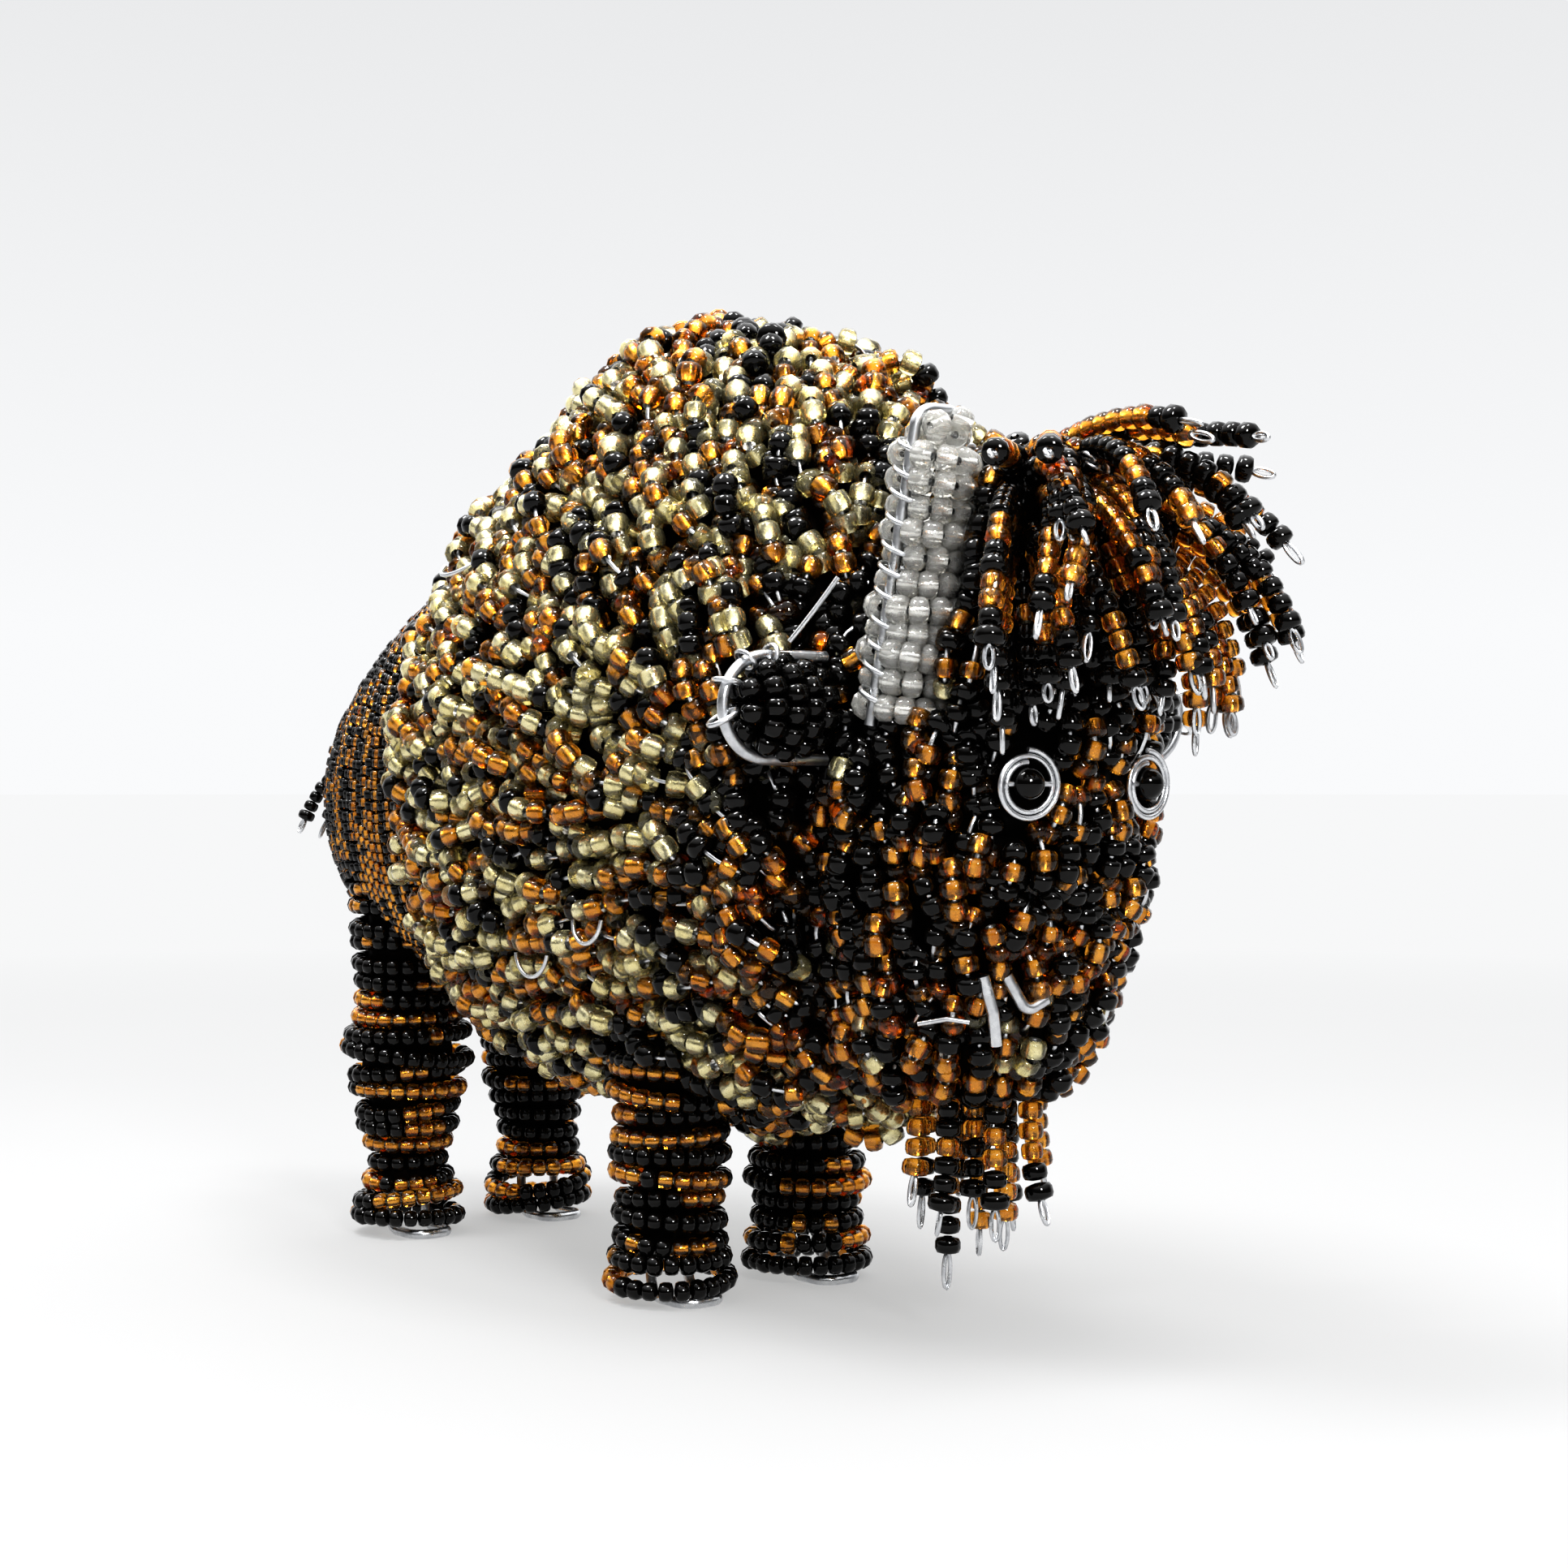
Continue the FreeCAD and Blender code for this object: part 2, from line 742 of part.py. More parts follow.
def solid_group(name, solids):
    """Separate solids of one kind as one node."""
    made = doc.addObject("Part::Feature", name)
    made.Shape = Part.makeCompound(solids)
    return made


def forelock_routes():
    """Arcs that fan out from the crown in tiers, over the front half of the head."""
    fan = math.radians(size("fan_half_angle"))
    routes = []
    for count, *reaches in FORELOCK_TIERS:
        for i in range(count):
            angle = -fan + 2 * fan * i / (count - 1)
            out = (math.sin(angle), -math.cos(angle))
            routes.append([Vector(out[0] * r, size("crown_along") + out[1] * r, z) for r, z in reaches])
    return routes


def beard_routes():
    """Nearly upright strands in rings under the chin."""
    routes = []
    for radius, count, length in BEARD_RINGS:
        for i in range(count):
            angle = 2 * math.pi * (i + 0.5) / count
            x = radius * math.sin(angle)
            y = size("beard_along") - radius * math.cos(angle)
            top = size("beard_top")
            hang = length * (1.0 + 0.15 * math.cos(2 * angle))
            routes.append(
                [
                    Vector(x, y, top),
                    Vector(1.03 * x, y, top - hang / 2),
                    Vector(1.02 * x, y, top - hang),
                ]
            )
    return routes


def tail_routes():
    """Three strands that sweep out and down from the end of the back."""
    routes = []
    for x in (-2.9, 0.0, 2.9):
        routes.append([Vector(x, 47.2, 61.2), Vector(1.1 * x, 54.8, 58.7), Vector(1.2 * x, 58.5, 52.0)])
    return routes


STRANDS = [
    ("forelock", forelock_routes(), head_place()),
    ("beard", beard_routes(), head_place()),
    ("tail", tail_routes(), figure_place()),
]
for name, routes, place in STRANDS:
    solids = [strand(points, size("strand_radius")) for points in routes]
    finish(solid_group(f"{name}_strands", solids), f"{name}_strands", place)
    loops = [tip_loop(points) for points in routes]
    finish(solid_group(f"{name}_wire_loops", loops), f"{name}_wire_loops", place)


def coat_point(station, around, stand_off, drift=0.0):
    """A point off the coat at one station; around is measured from the top over the right side."""
    across = -(size(f"{station}_half_width") + stand_off) * math.sin(around)
    rise = (size(f"{station}_half_height") + stand_off) * math.cos(around)
    return Vector(across, size(f"{station}_along") + drift, size(f"{station}_height") + rise)


# Ends of thin binding wire that stand clear of the coat: station, angle from the top
# in degrees, spread of the ends along the body.
LOOSE_ENDS = [("back", 60, 3.0), ("withers", 125, 3.0), ("hump", 118, 2.5)]
loose = []
for station, degrees, spread in LOOSE_ENDS:
    around = math.radians(degrees)
    ends = [
        coat_point(station, around, 1.2, -spread),
        coat_point(station, around + 0.05, 2.4),
        coat_point(station, around, 1.2, spread),
    ]
    loose.append(strand(ends, size("thin_wire_radius")))
tie = [Vector(-19.6, -66.8, 77.0), Vector(-21.2, -65.2, 73.9), Vector(-22.9, -63.4, 70.8)]
loose.append(strand(tie, size("thin_wire_radius")))
finish(solid_group("loose_wire_ends", loose), "loose_wire_ends", figure_place())


# ---------------------------------------------------------------- checks and files

doc.recompute()
for made in doc.Objects:
    if "Invalid" in made.State or "Error" in made.State:
        raise RuntimeError(f"{made.Label} failed: {made.State}")
for piece in parts:
    if piece.Shape.isNull() or not piece.Shape.isValid():
        raise RuntimeError(f"{piece.Label} has no valid shape")

os.makedirs("parts", exist_ok=True)
whole = FreeCAD.BoundBox()
for piece in parts:
    whole.add(piece.Shape.BoundBox)
    piece.Shape.exportStep(f"parts/{piece.Label}.step")
    print(f"{piece.Label}: {len(piece.Shape.Solids)} solids, {piece.Shape.Volume:.1f} mm3")
print("whole figure:", whole, "centre", whole.Center)
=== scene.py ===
import math

import bpy
import numpy as np
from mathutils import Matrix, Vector


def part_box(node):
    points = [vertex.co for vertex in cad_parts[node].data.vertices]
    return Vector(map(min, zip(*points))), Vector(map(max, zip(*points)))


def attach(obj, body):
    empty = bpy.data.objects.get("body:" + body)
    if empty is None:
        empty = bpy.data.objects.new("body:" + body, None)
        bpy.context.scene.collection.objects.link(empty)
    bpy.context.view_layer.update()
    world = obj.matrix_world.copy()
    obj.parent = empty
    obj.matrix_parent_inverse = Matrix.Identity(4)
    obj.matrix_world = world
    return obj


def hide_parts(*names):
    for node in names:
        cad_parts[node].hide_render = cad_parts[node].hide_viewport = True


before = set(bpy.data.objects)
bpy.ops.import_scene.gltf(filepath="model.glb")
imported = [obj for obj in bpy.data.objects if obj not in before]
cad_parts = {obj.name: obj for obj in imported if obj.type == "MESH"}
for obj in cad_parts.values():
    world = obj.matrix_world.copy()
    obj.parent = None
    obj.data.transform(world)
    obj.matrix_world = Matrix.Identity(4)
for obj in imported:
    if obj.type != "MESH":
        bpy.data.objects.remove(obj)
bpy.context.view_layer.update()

# A bison strung from glass seed beads on wire. Metres. It faces -Y, its left side is +X,
# +Z is up, and it stands on Z = 0. Lengths in the tables below are millimetres, about
# the middle of the four feet, as in the CAD source.

MM = 0.001
draw = np.random.default_rng(71)

# ---------------------------------------------------------------- places


def box_middle(node):
    """The middle of a CAD node's box."""
    low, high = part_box(node)
    return (np.array(low) + np.array(high)) / 2


LEG_NAMES = ("front_right", "front_left", "hind_right", "hind_left")
feet = np.mean([box_middle(f"{leg}_leg_beads") for leg in LEG_NAMES], axis=0)
feet[2] = 0.0

right_eye, left_eye = box_middle("right_eye_bead"), box_middle("left_eye_bead")
head_across = (left_eye - right_eye) / np.linalg.norm(left_eye - right_eye)
head_up = np.array([0.0, 0.0, 1.0])
head_back = np.cross(head_up, head_across)
EYE_ALONG, EYE_HEIGHT = -81.6, 57.0


def unit(vectors):
    """Each vector divided by its own length."""
    vectors = np.asarray(vectors, float)
    return vectors / np.maximum(np.linalg.norm(vectors, axis=-1, keepdims=True), 1e-12)


def in_body(points):
    """Millimetres about the middle of the feet, as metres in the row's frame."""
    return feet + np.asarray(points, float) * MM


def in_head(points):
    """Millimetres in the head's own frame: the middle between the eyes plus each coordinate along
    the head's turned axes."""
    p = np.asarray(points, float) * MM
    return (
        (right_eye + left_eye) / 2
        + p[..., :1] * head_across
        + (p[..., 1:2] - EYE_ALONG * MM) * head_back
        + (p[..., 2:3] - EYE_HEIGHT * MM) * head_up
    )


def head_way(vectors):
    """Directions in the head's own frame, turned with the head."""
    v = np.asarray(vectors, float)
    return v[..., :1] * head_across + v[..., 1:2] * head_back + v[..., 2:3] * head_up


# ---------------------------------------------------------------- shader maths


class Sum:
    """One output of a shader, so that shader maths reads as ordinary sums."""

    def __init__(self, finish, socket):
        self.finish, self.socket = finish, socket

    def _math(self, operation, first, second):
        return self.finish.node("ShaderNodeMath", {"operation": operation}, {0: first, 1: second})

    def __add__(self, other):
        return self._math("ADD", self, other)

    def __rsub__(self, other):
        return self._math("SUBTRACT", other, self)

    def __mul__(self, other):
        return self._math("MULTIPLY", self, other)

    def __pow__(self, other):
        return self._math("POWER", self, other)

    __radd__, __rmul__ = __add__, __mul__


class Finish:
    """A material under construction, with one Principled shader."""

    def __init__(self, name, tree=None):
        if tree is None:
            self.material = bpy.data.materials.new(name)
            self.material.use_nodes = True
            tree = self.material.node_tree
            tree.nodes.clear()
        self.tree = tree

    def node(self, kind, settings=None, sockets=None, out=0):
        """A node of one kind: its settings first, then the values or links of its sockets."""
        made = self.tree.nodes.new(kind)
        for key, value in (settings or {}).items():
            setattr(made, key, value)
        for key, value in (sockets or {}).items():
            if isinstance(value, Sum):
                self.tree.links.new(value.socket, made.inputs[key])
            elif isinstance(value, tuple) and len(value) == 3 and made.inputs[key].type == "RGBA":
                made.inputs[key].default_value = (*value, 1.0)
            else:
                made.inputs[key].default_value = value
        return Sum(self, made.outputs[out]) if made.outputs else None

    def place(self):
        """The point on the piece, in its own coordinates."""
        return self.node("ShaderNodeTexCoord", out="Object")

    def noise(self, scale, detail=2.0, roughness=0.5):
        """Soft noise with so many waves to the metre."""
        return self.node(
            "ShaderNodeTexNoise",
            None,
            {"Vector": self.place(), "Scale": scale, "Detail": detail, "Roughness": roughness},
        )

    def blend(self, share, first, second):
        """Two colours mixed by a share."""
        colours = {0: share, 6: first, 7: second}
        return self.node("ShaderNodeMix", {"data_type": "RGBA"}, colours, out=2)

    def spread(self, value, low, high):
        """A value stretched so that low becomes 0 and high becomes 1, held between them."""
        return self.node("ShaderNodeMapRange", None, {0: value, 1: low, 2: high, 3: 0.0, 4: 1.0})

    def bump(self, height, distance):
        """The normal over a height field, with the field's full height in metres."""
        return self.node(
            "ShaderNodeBump", None, {"Strength": 1.0, "Distance": distance, "Height": height}
        )

    def done(self, **sockets):
        """Joins the shader to the output and gives the material."""
        shader = self.node(
            "ShaderNodeBsdfPrincipled", None, {k.replace("_", " "): v for k, v in sockets.items()}
        )
        self.node("ShaderNodeOutputMaterial", None, {"Surface": shader})
        return self.material


def glass(name, light, deep, clearness, ripple):
    """Pressed glass: a colour that drifts from bead to bead, a rippled skin and faint smears."""
    f = Finish(name)
    colour = f.blend(f.spread(f.noise(330.0, 1.0), 0.3, 0.7), light, deep)
    smear = f.noise(900.0, 3.0)
    return f.done(
        Base_Color=colour,
        Roughness=0.015 + 0.07 * smear**2,
        Normal=f.bump(f.noise(1100.0, 1.0), ripple),
        Transmission_Weight=clearness,
        IOR=1.52,
    )


def foil(name, bright, dull):
    """The silvered wall of a bead's hole: bright metal with drawn streaks and dull patches."""
    f = Finish(name)
    patch = f.spread(f.noise(1500.0, 3.0, 0.7), 0.35, 0.65)
    return f.done(
        Base_Color=f.blend(patch, bright, dull),
        Metallic=1.0,
        Roughness=0.16 + 0.2 * patch,
        Normal=f.bump(f.noise(2600.0, 2.0), 0.00003),
    )


def black_glass(name):
    """Opaque black glass: deep and glossy, with faint smears and a slightly uneven skin."""
    f = Finish(name)
    smear = f.noise(700.0, 3.0)
    return f.done(
        Base_Color=f.blend(smear, (0.001, 0.001, 0.001), (0.005, 0.004, 0.003)),
        Roughness=0.02 + 0.1 * smear**2,
        Normal=f.bump(f.noise(900.0, 1.0), 0.00003),
        IOR=1.5,
        Specular_IOR_Level=0.42,
    )


def drawn_wire(name, bright, dull, waves):
    """Soft aluminium wire: drawn metal with handling marks, small dents and dull patches."""
    f = Finish(name)
    patch = f.spread(f.noise(waves, 4.0, 0.65), 0.3, 0.72)
    return f.done(
        Base_Color=f.blend(patch, bright, dull),
        Metallic=1.0,
        Roughness=0.2 + 0.25 * patch,
        Normal=f.bump(f.noise(3.0 * waves, 2.0), 0.00004),
    )


def shade_and_rows_layer(name):
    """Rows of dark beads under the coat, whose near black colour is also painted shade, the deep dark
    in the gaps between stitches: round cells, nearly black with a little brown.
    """
    f = Finish(name)
    cells = f.node("ShaderNodeTexVoronoi", None, {"Vector": f.place(), "Scale": 480.0})
    tone = f.spread(f.noise(260.0, 1.0), 0.45, 0.75)
    return f.done(
        # Painted shade: the rows are kept nearly black so that the gaps between stitches read as deep
        # shadow.
        Base_Color=f.blend(tone, (0.0008, 0.0006, 0.0005), (0.008, 0.003, 0.001)),
        Roughness=0.6 + 0.3 * cells,
        Normal=f.bump(1.0 - cells, 0.0006),
        Specular_IOR_Level=0.12,
    )


STRAW = glass("straw_glass", (0.97, 0.92, 0.64), (0.90, 0.80, 0.42), 0.93, 0.00003)
AMBER = glass("amber_glass", (0.93, 0.46, 0.07), (0.62, 0.23, 0.02), 0.99, 0.00003)
CLEAR = glass("clear_glass", (0.99, 0.985, 0.95), (0.96, 0.95, 0.90), 0.78, 0.00002)
BLACK = black_glass("black_glass")
SILVER = foil("silver_lining", (0.99, 0.98, 0.95), (0.86, 0.84, 0.78))
BARE = foil("clear_hole", (0.96, 0.96, 0.96), (0.80, 0.80, 0.80))
HEAVY_WIRE = drawn_wire("heavy_wire", (0.80, 0.81, 0.82), (0.50, 0.51, 0.53), 500.0)
THIN_WIRE = drawn_wire("thin_wire", (0.86, 0.87, 0.88), (0.60, 0.61, 0.63), 900.0)
SHADE_AND_ROWS = shade_and_rows_layer("rows_and_shade")

# Colour of bead: glass, wall of the hole, hole's share of the radius.
COLOURS = {
    "straw": (STRAW, SILVER, 0.5),
    "amber": (AMBER, SILVER, 0.42),
    "black": (BLACK, BLACK, 0.34),
    "clear": (CLEAR, BARE, 0.27),
}

# ---------------------------------------------------------------- meshes


def lay_mesh(name, points, corners, sides, finishes, which=None, sharp=None):
    """A mesh from its points, its faces' corners one after another, how many corners each face has,
    and the number of each face's finish."""
    mesh = bpy.data.meshes.new(name)
    mesh.vertices.add(len(points))
    mesh.vertices.foreach_set("co", np.ascontiguousarray(points, np.float32).ravel())
    mesh.loops.add(len(corners))
    mesh.loops.foreach_set("vertex_index", np.ascontiguousarray(corners, np.int32))
    mesh.polygons.add(len(sides))
    starts = np.concatenate([[0], np.cumsum(sides)[:-1]]).astype(np.int32)
    mesh.polygons.foreach_set("loop_start", starts)
    if which is not None:
        mesh.polygons.foreach_set("material_index", np.ascontiguousarray(which, np.int32))
    mesh.update(calc_edges=True)
    mesh.shade_smooth()
    if sharp is not None:
        mesh.set_sharp_from_angle(angle=math.radians(sharp))
    for finish in finishes:
        mesh.materials.append(finish)
    piece = bpy.data.objects.new(name, mesh)
    bpy.context.scene.collection.objects.link(piece)
    return piece


def on_figure(piece, nodes=()):
    """The piece rides with the figure and stands for CAD nodes."""
    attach(piece, "figure")
    if nodes:
        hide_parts(*nodes)


def bead_shape(bore, sides, turns):
    """A bead of radius 1 and length 1 about Z. Its outline runs over angles u from the top to the
    bottom of the hole: radius = bore + (1 - bore) cos(u)^0.6 and height = 0.5 sin(u)^0.8 with the
    sine's sign. The outline is turned about Z and closes through the hole's wall."""
    u = np.radians(turns)
    radius = bore + (1 - bore) * np.abs(np.cos(u)) ** 0.6
    radius[0] = radius[-1] = bore
    height = 0.5 * np.sign(np.sin(u)) * np.abs(np.sin(u)) ** 0.8
    around = 2 * np.pi * np.arange(sides) / sides
    points = np.stack(
        [
            radius[:, None] * np.cos(around),
            radius[:, None] * np.sin(around),
            np.repeat(height[:, None], sides, 1),
        ],
        axis=-1,
    ).reshape(-1, 3)
    ring = np.arange(len(u))[:, None]
    step = np.arange(sides)[None, :]
    after, beside = (ring + 1) % len(u), (step + 1) % sides
    here, below = ring * sides, after * sides
    faces = np.stack([here + step, below + step, below + beside, here + beside], axis=-1)
    faces = faces.reshape(-1, 4)
    wall = np.repeat(np.arange(len(u)) == len(u) - 1, sides)
    return points, faces, wall


# Outline angles and sides round the hole, for most beads and for the small ones of the rump.
FULL_BEAD = (90.0, 50.0, 18.0, -18.0, -50.0, -90.0), 10
SMALL_BEAD = (90.0, 38.0, -38.0, -90.0), 7
RUMP_PIECE = "hindquarters_beads"
BEAD_EDGE = 75.0


class Strings:
    """Beads gathered under the names of the pieces that they will make."""

    def __init__(self):
        self.kept = {}

    def add(self, piece, colour, middles, axes, radii, lengths):
        """Beads of one colour for a piece: their middles, axes, radii and lengths."""
        rows = np.concatenate(
            [
                np.asarray(middles, float).reshape(-1, 3),
                unit(axes).reshape(-1, 3),
                np.broadcast_to(radii, len(middles))[:, None],
                np.broadcast_to(lengths, len(middles))[:, None],
            ],
            axis=1,
        )
        self.kept.setdefault((piece, colour), []).append(rows)

    def sort(self, piece, picked, middles, axes, radii, lengths):
        """Shares beads out by the number of the colour picked for each."""
        for number, colour in enumerate(("straw", "amber", "black")):
            mine = picked == number
            if mine.any():
                self.add(
                    piece,
                    colour,
                    middles[mine],
                    axes[mine],
                    np.broadcast_to(radii, len(picked))[mine],
                    np.broadcast_to(lengths, len(picked))[mine],
                )

    def make(self):
        """One mesh for each piece and colour, the first of which stands for the CAD node of that name.
        Every bead is the bead shape, its circle scaled by the bead's radius across its axis and its
        height by the bead's length along it."""
        said = set()
        for (piece, colour), rows in self.kept.items():
            rows = np.concatenate(rows)
            skin, wall, bore = COLOURS[colour]
            turns, sides = SMALL_BEAD if piece == RUMP_PIECE else FULL_BEAD
            shape, faces, inner = bead_shape(bore, sides, turns)
            middle, axis = rows[:, None, 0:3], rows[:, 3:6]
            radius, length = rows[:, None, 6:7], rows[:, None, 7:8]
            helper = np.where(np.abs(axis[:, 2:3]) < 0.8, [[0.0, 0.0, 1.0]], [[1.0, 0.0, 0.0]])
            across = unit(np.cross(helper, axis))
            upward = np.cross(axis, across)
            points = (
                middle
                + radius
                * (shape[None, :, 0:1] * across[:, None] + shape[None, :, 1:2] * upward[:, None])
                + length * shape[None, :, 2:3] * axis[:, None]
            ).reshape(-1, 3)
            shift = np.arange(len(rows))[:, None, None] * len(shape)
            corners = (faces[None] + shift).ravel()
            made = lay_mesh(
                f"{piece}_{colour}",
                points,
                corners,
                np.full(len(rows) * len(faces), 4),
                [skin, wall],
                np.tile(inner, len(rows)),
                BEAD_EDGE,
            )
            on_figure(made, () if piece in said else (piece,))
            said.add(piece)


strings = Strings()
WIRE_SIDES, WIRE_EDGE = 6, 60.0


def sleeve(steps, sides):
    """The corners of the quads between rings of points, then of the flat face at each end, and how
    many corners each of those faces has."""
    ring, step = np.arange(steps - 1)[:, None], np.arange(sides)[None, :]
    beside = (step + 1) % sides
    after = ring + 1
    quads = np.stack(
        [ring * sides + step, ring * sides + beside, after * sides + beside, after * sides + step],
        axis=-1,
    ).reshape(-1)
    last = (steps - 1) * sides + np.arange(sides)
    corners = np.concatenate([quads, np.arange(sides)[::-1], last])
    return corners, [4] * ((steps - 1) * sides) + [sides, sides]


def thin_wires(name, routes, sideways, radius, nodes=()):
    """Round wires along planar routes: at each point a ring of points = point + radius (cos a
    sideways + sin a outward), with outward square to the route and to sideways. Flat ends close
    each wire."""
    route = np.asarray(routes, float)
    many, steps = route.shape[:2]
    along = unit(np.gradient(route, axis=1))
    side = np.broadcast_to(np.asarray(sideways, float)[:, None], route.shape)
    side = unit(side - np.sum(side * along, axis=-1, keepdims=True) * along)
    outward = np.cross(side, along)
    a = 2 * np.pi * np.arange(WIRE_SIDES) / WIRE_SIDES
    rings = route[:, :, None] + radius * (
        np.cos(a)[:, None] * side[:, :, None] + np.sin(a)[:, None] * outward[:, :, None]
    )
    corners, sizes = sleeve(steps, WIRE_SIDES)
    shift = np.arange(many)[:, None] * steps * WIRE_SIDES
    piece = lay_mesh(
        name, rings.reshape(-1, 3), (corners[None] + shift).ravel(), np.tile(sizes, many),
        [THIN_WIRE], sharp=WIRE_EDGE,
    )
    on_figure(piece, nodes)


def closed_skin(name, rings):
    """A dark closed skin through rings of points: quads between neighbouring rings and one flat
    face at each end. Its near black finish is also painted shade in the gaps of the beads over it."""
    corners, sizes = sleeve(*rings.shape[:2])
    on_figure(lay_mesh(name, rings.reshape(-1, 3), corners, np.array(sizes), [SHADE_AND_ROWS]))


# ---------------------------------------------------------------- body and head surfaces

# Distance along Y, height of the centre, half width, half height.
RUMP = [
    (46.6, 55.0, 0.7, 0.9), (46.0, 55.0, 3.2, 4.0), (43.0, 55.0, 10.5, 11.5),
    (38.0, 55.0, 15.5, 17.0), (30.0, 55.5, 19.0, 22.5), (20.0, 57.0, 20.8, 27.0),
    (10.0, 58.25, 21.0, 30.25),
]
COAT = [
    (10.0, 57.4, 22.8, 32.2), (-5.0, 60.8, 25.2, 38.2), (-19.0, 63.75, 26.5, 43.25),
    (-32.0, 63.75, 26.5, 43.75), (-46.0, 62.25, 24.5, 40.25), (-56.0, 60.0, 21.0, 35.0),
    (-59.0, 60.0, 16.0, 30.0),
]
# Height, distance of the centre along Y, half width, half depth.
HEAD = [
    (89.3, -72.0, 0.9, 0.9), (88.5, -72.0, 5.0, 5.0), (84.5, -70.0, 10.5, 10.8),
    (76.0, -67.0, 15.5, 15.6), (66.0, -65.0, 17.0, 18.0), (57.0, -64.0, 17.0, 18.0),
    (46.0, -63.0, 17.0, 17.8), (37.0, -62.0, 15.4, 15.6), (31.0, -61.0, 13.8, 14.0),
    (26.0, -60.0, 11.0, 11.2),
]
# How far the neck sways towards the turned head, from where, and over what length.
NECK_SWAY, SWAY_START, SWAY_RUN = 2.24, -46.0, 10.0


def sections_at(table, stations):
    """The table's ovals at new stations, by the cubic through each pair with Catmull-Rom slopes."""
    rows = np.array(sorted(table))
    at, values = rows[:, 0], rows[:, 1:]
    slope = np.gradient(values, at, axis=0)
    stations = np.clip(stations, at[0], at[-1])
    i = np.clip(np.searchsorted(at, stations) - 1, 0, len(at) - 2)
    gap = (at[i + 1] - at[i])[:, None]
    t = ((stations - at[i])[:, None]) / gap
    return (
        (2 * t**3 - 3 * t**2 + 1) * values[i]
        + (t**3 - 2 * t**2 + t) * gap * slope[i]
        + (3 * t**2 - 2 * t**3) * values[i + 1]
        + (t**3 - t**2) * gap * slope[i + 1]
    )


def neck_sway(along):
    """The sway at stations along Y, growing evenly from none to all of it."""
    return NECK_SWAY * np.clip((SWAY_START - along) / SWAY_RUN, 0.0, 1.0)


def upright_oval(table, along, angle):
    """Points of the body: at each station along Y, centre plus (half width sin angle, half height
    cos angle). The neck sways a little towards the turned head."""
    centre, width, height = sections_at(table, along).T
    x = neck_sway(along) + width * np.sin(angle)
    return np.stack([x, along, centre + height * np.cos(angle)], axis=-1)


def level_oval(height, angle):
    """Points of the head: at each height, centre plus (half width sin angle, minus half depth cos
    angle)."""
    centre, width, depth = sections_at(HEAD, height).T
    return np.stack([width * np.sin(angle), centre - depth * np.cos(angle), height], axis=-1)


STEP_ALONG, STEP_ROUND = 0.05, 0.002


def surface_frame(surface, first, second):
    """A surface's points with its two unit tangents and their normal, from differences a small
    step apart."""
    here = surface(first, second)
    one = unit(surface(first + STEP_ALONG, second) - surface(first - STEP_ALONG, second))
    two = unit(surface(first, second + STEP_ROUND) - surface(first, second - STEP_ROUND))
    return here, one, two, unit(np.cross(one, two))


def evenly_round(width, height, count, phase):
    """Angles that part an oval into equal lengths of its edge, found by adding up short chords, and
    the whole length of the edge."""
    fine = np.linspace(0.0, 2 * np.pi, 361)
    edge = np.stack([width * np.sin(fine), height * np.cos(fine)], axis=-1)
    run = np.concatenate([[0.0], np.cumsum(np.linalg.norm(np.diff(edge, axis=0), axis=1))])
    wanted = (np.arange(count) + phase) / count % 1.0 * run[-1]
    return np.interp(np.sort(wanted), run, fine), run[-1]


def pick(weights):
    """A colour number for each row, drawn by the row's own weights."""
    chances = np.cumsum(weights / weights.sum(axis=-1, keepdims=True), axis=-1)
    passed = (draw.random(chances.shape[:-1])[..., None] > chances).sum(axis=-1)
    return np.minimum(passed, weights.shape[-1] - 1)


def smooth_step(value, low, high):
    """0 below low, 1 above high, and 3t^2 - 2t^3 between them."""
    t = np.clip((value - low) / (high - low), 0.0, 1.0)
    return t * t * (3 - 2 * t)


# ---------------------------------------------------------------- stitches of the coat

MOST_BEADS = 5


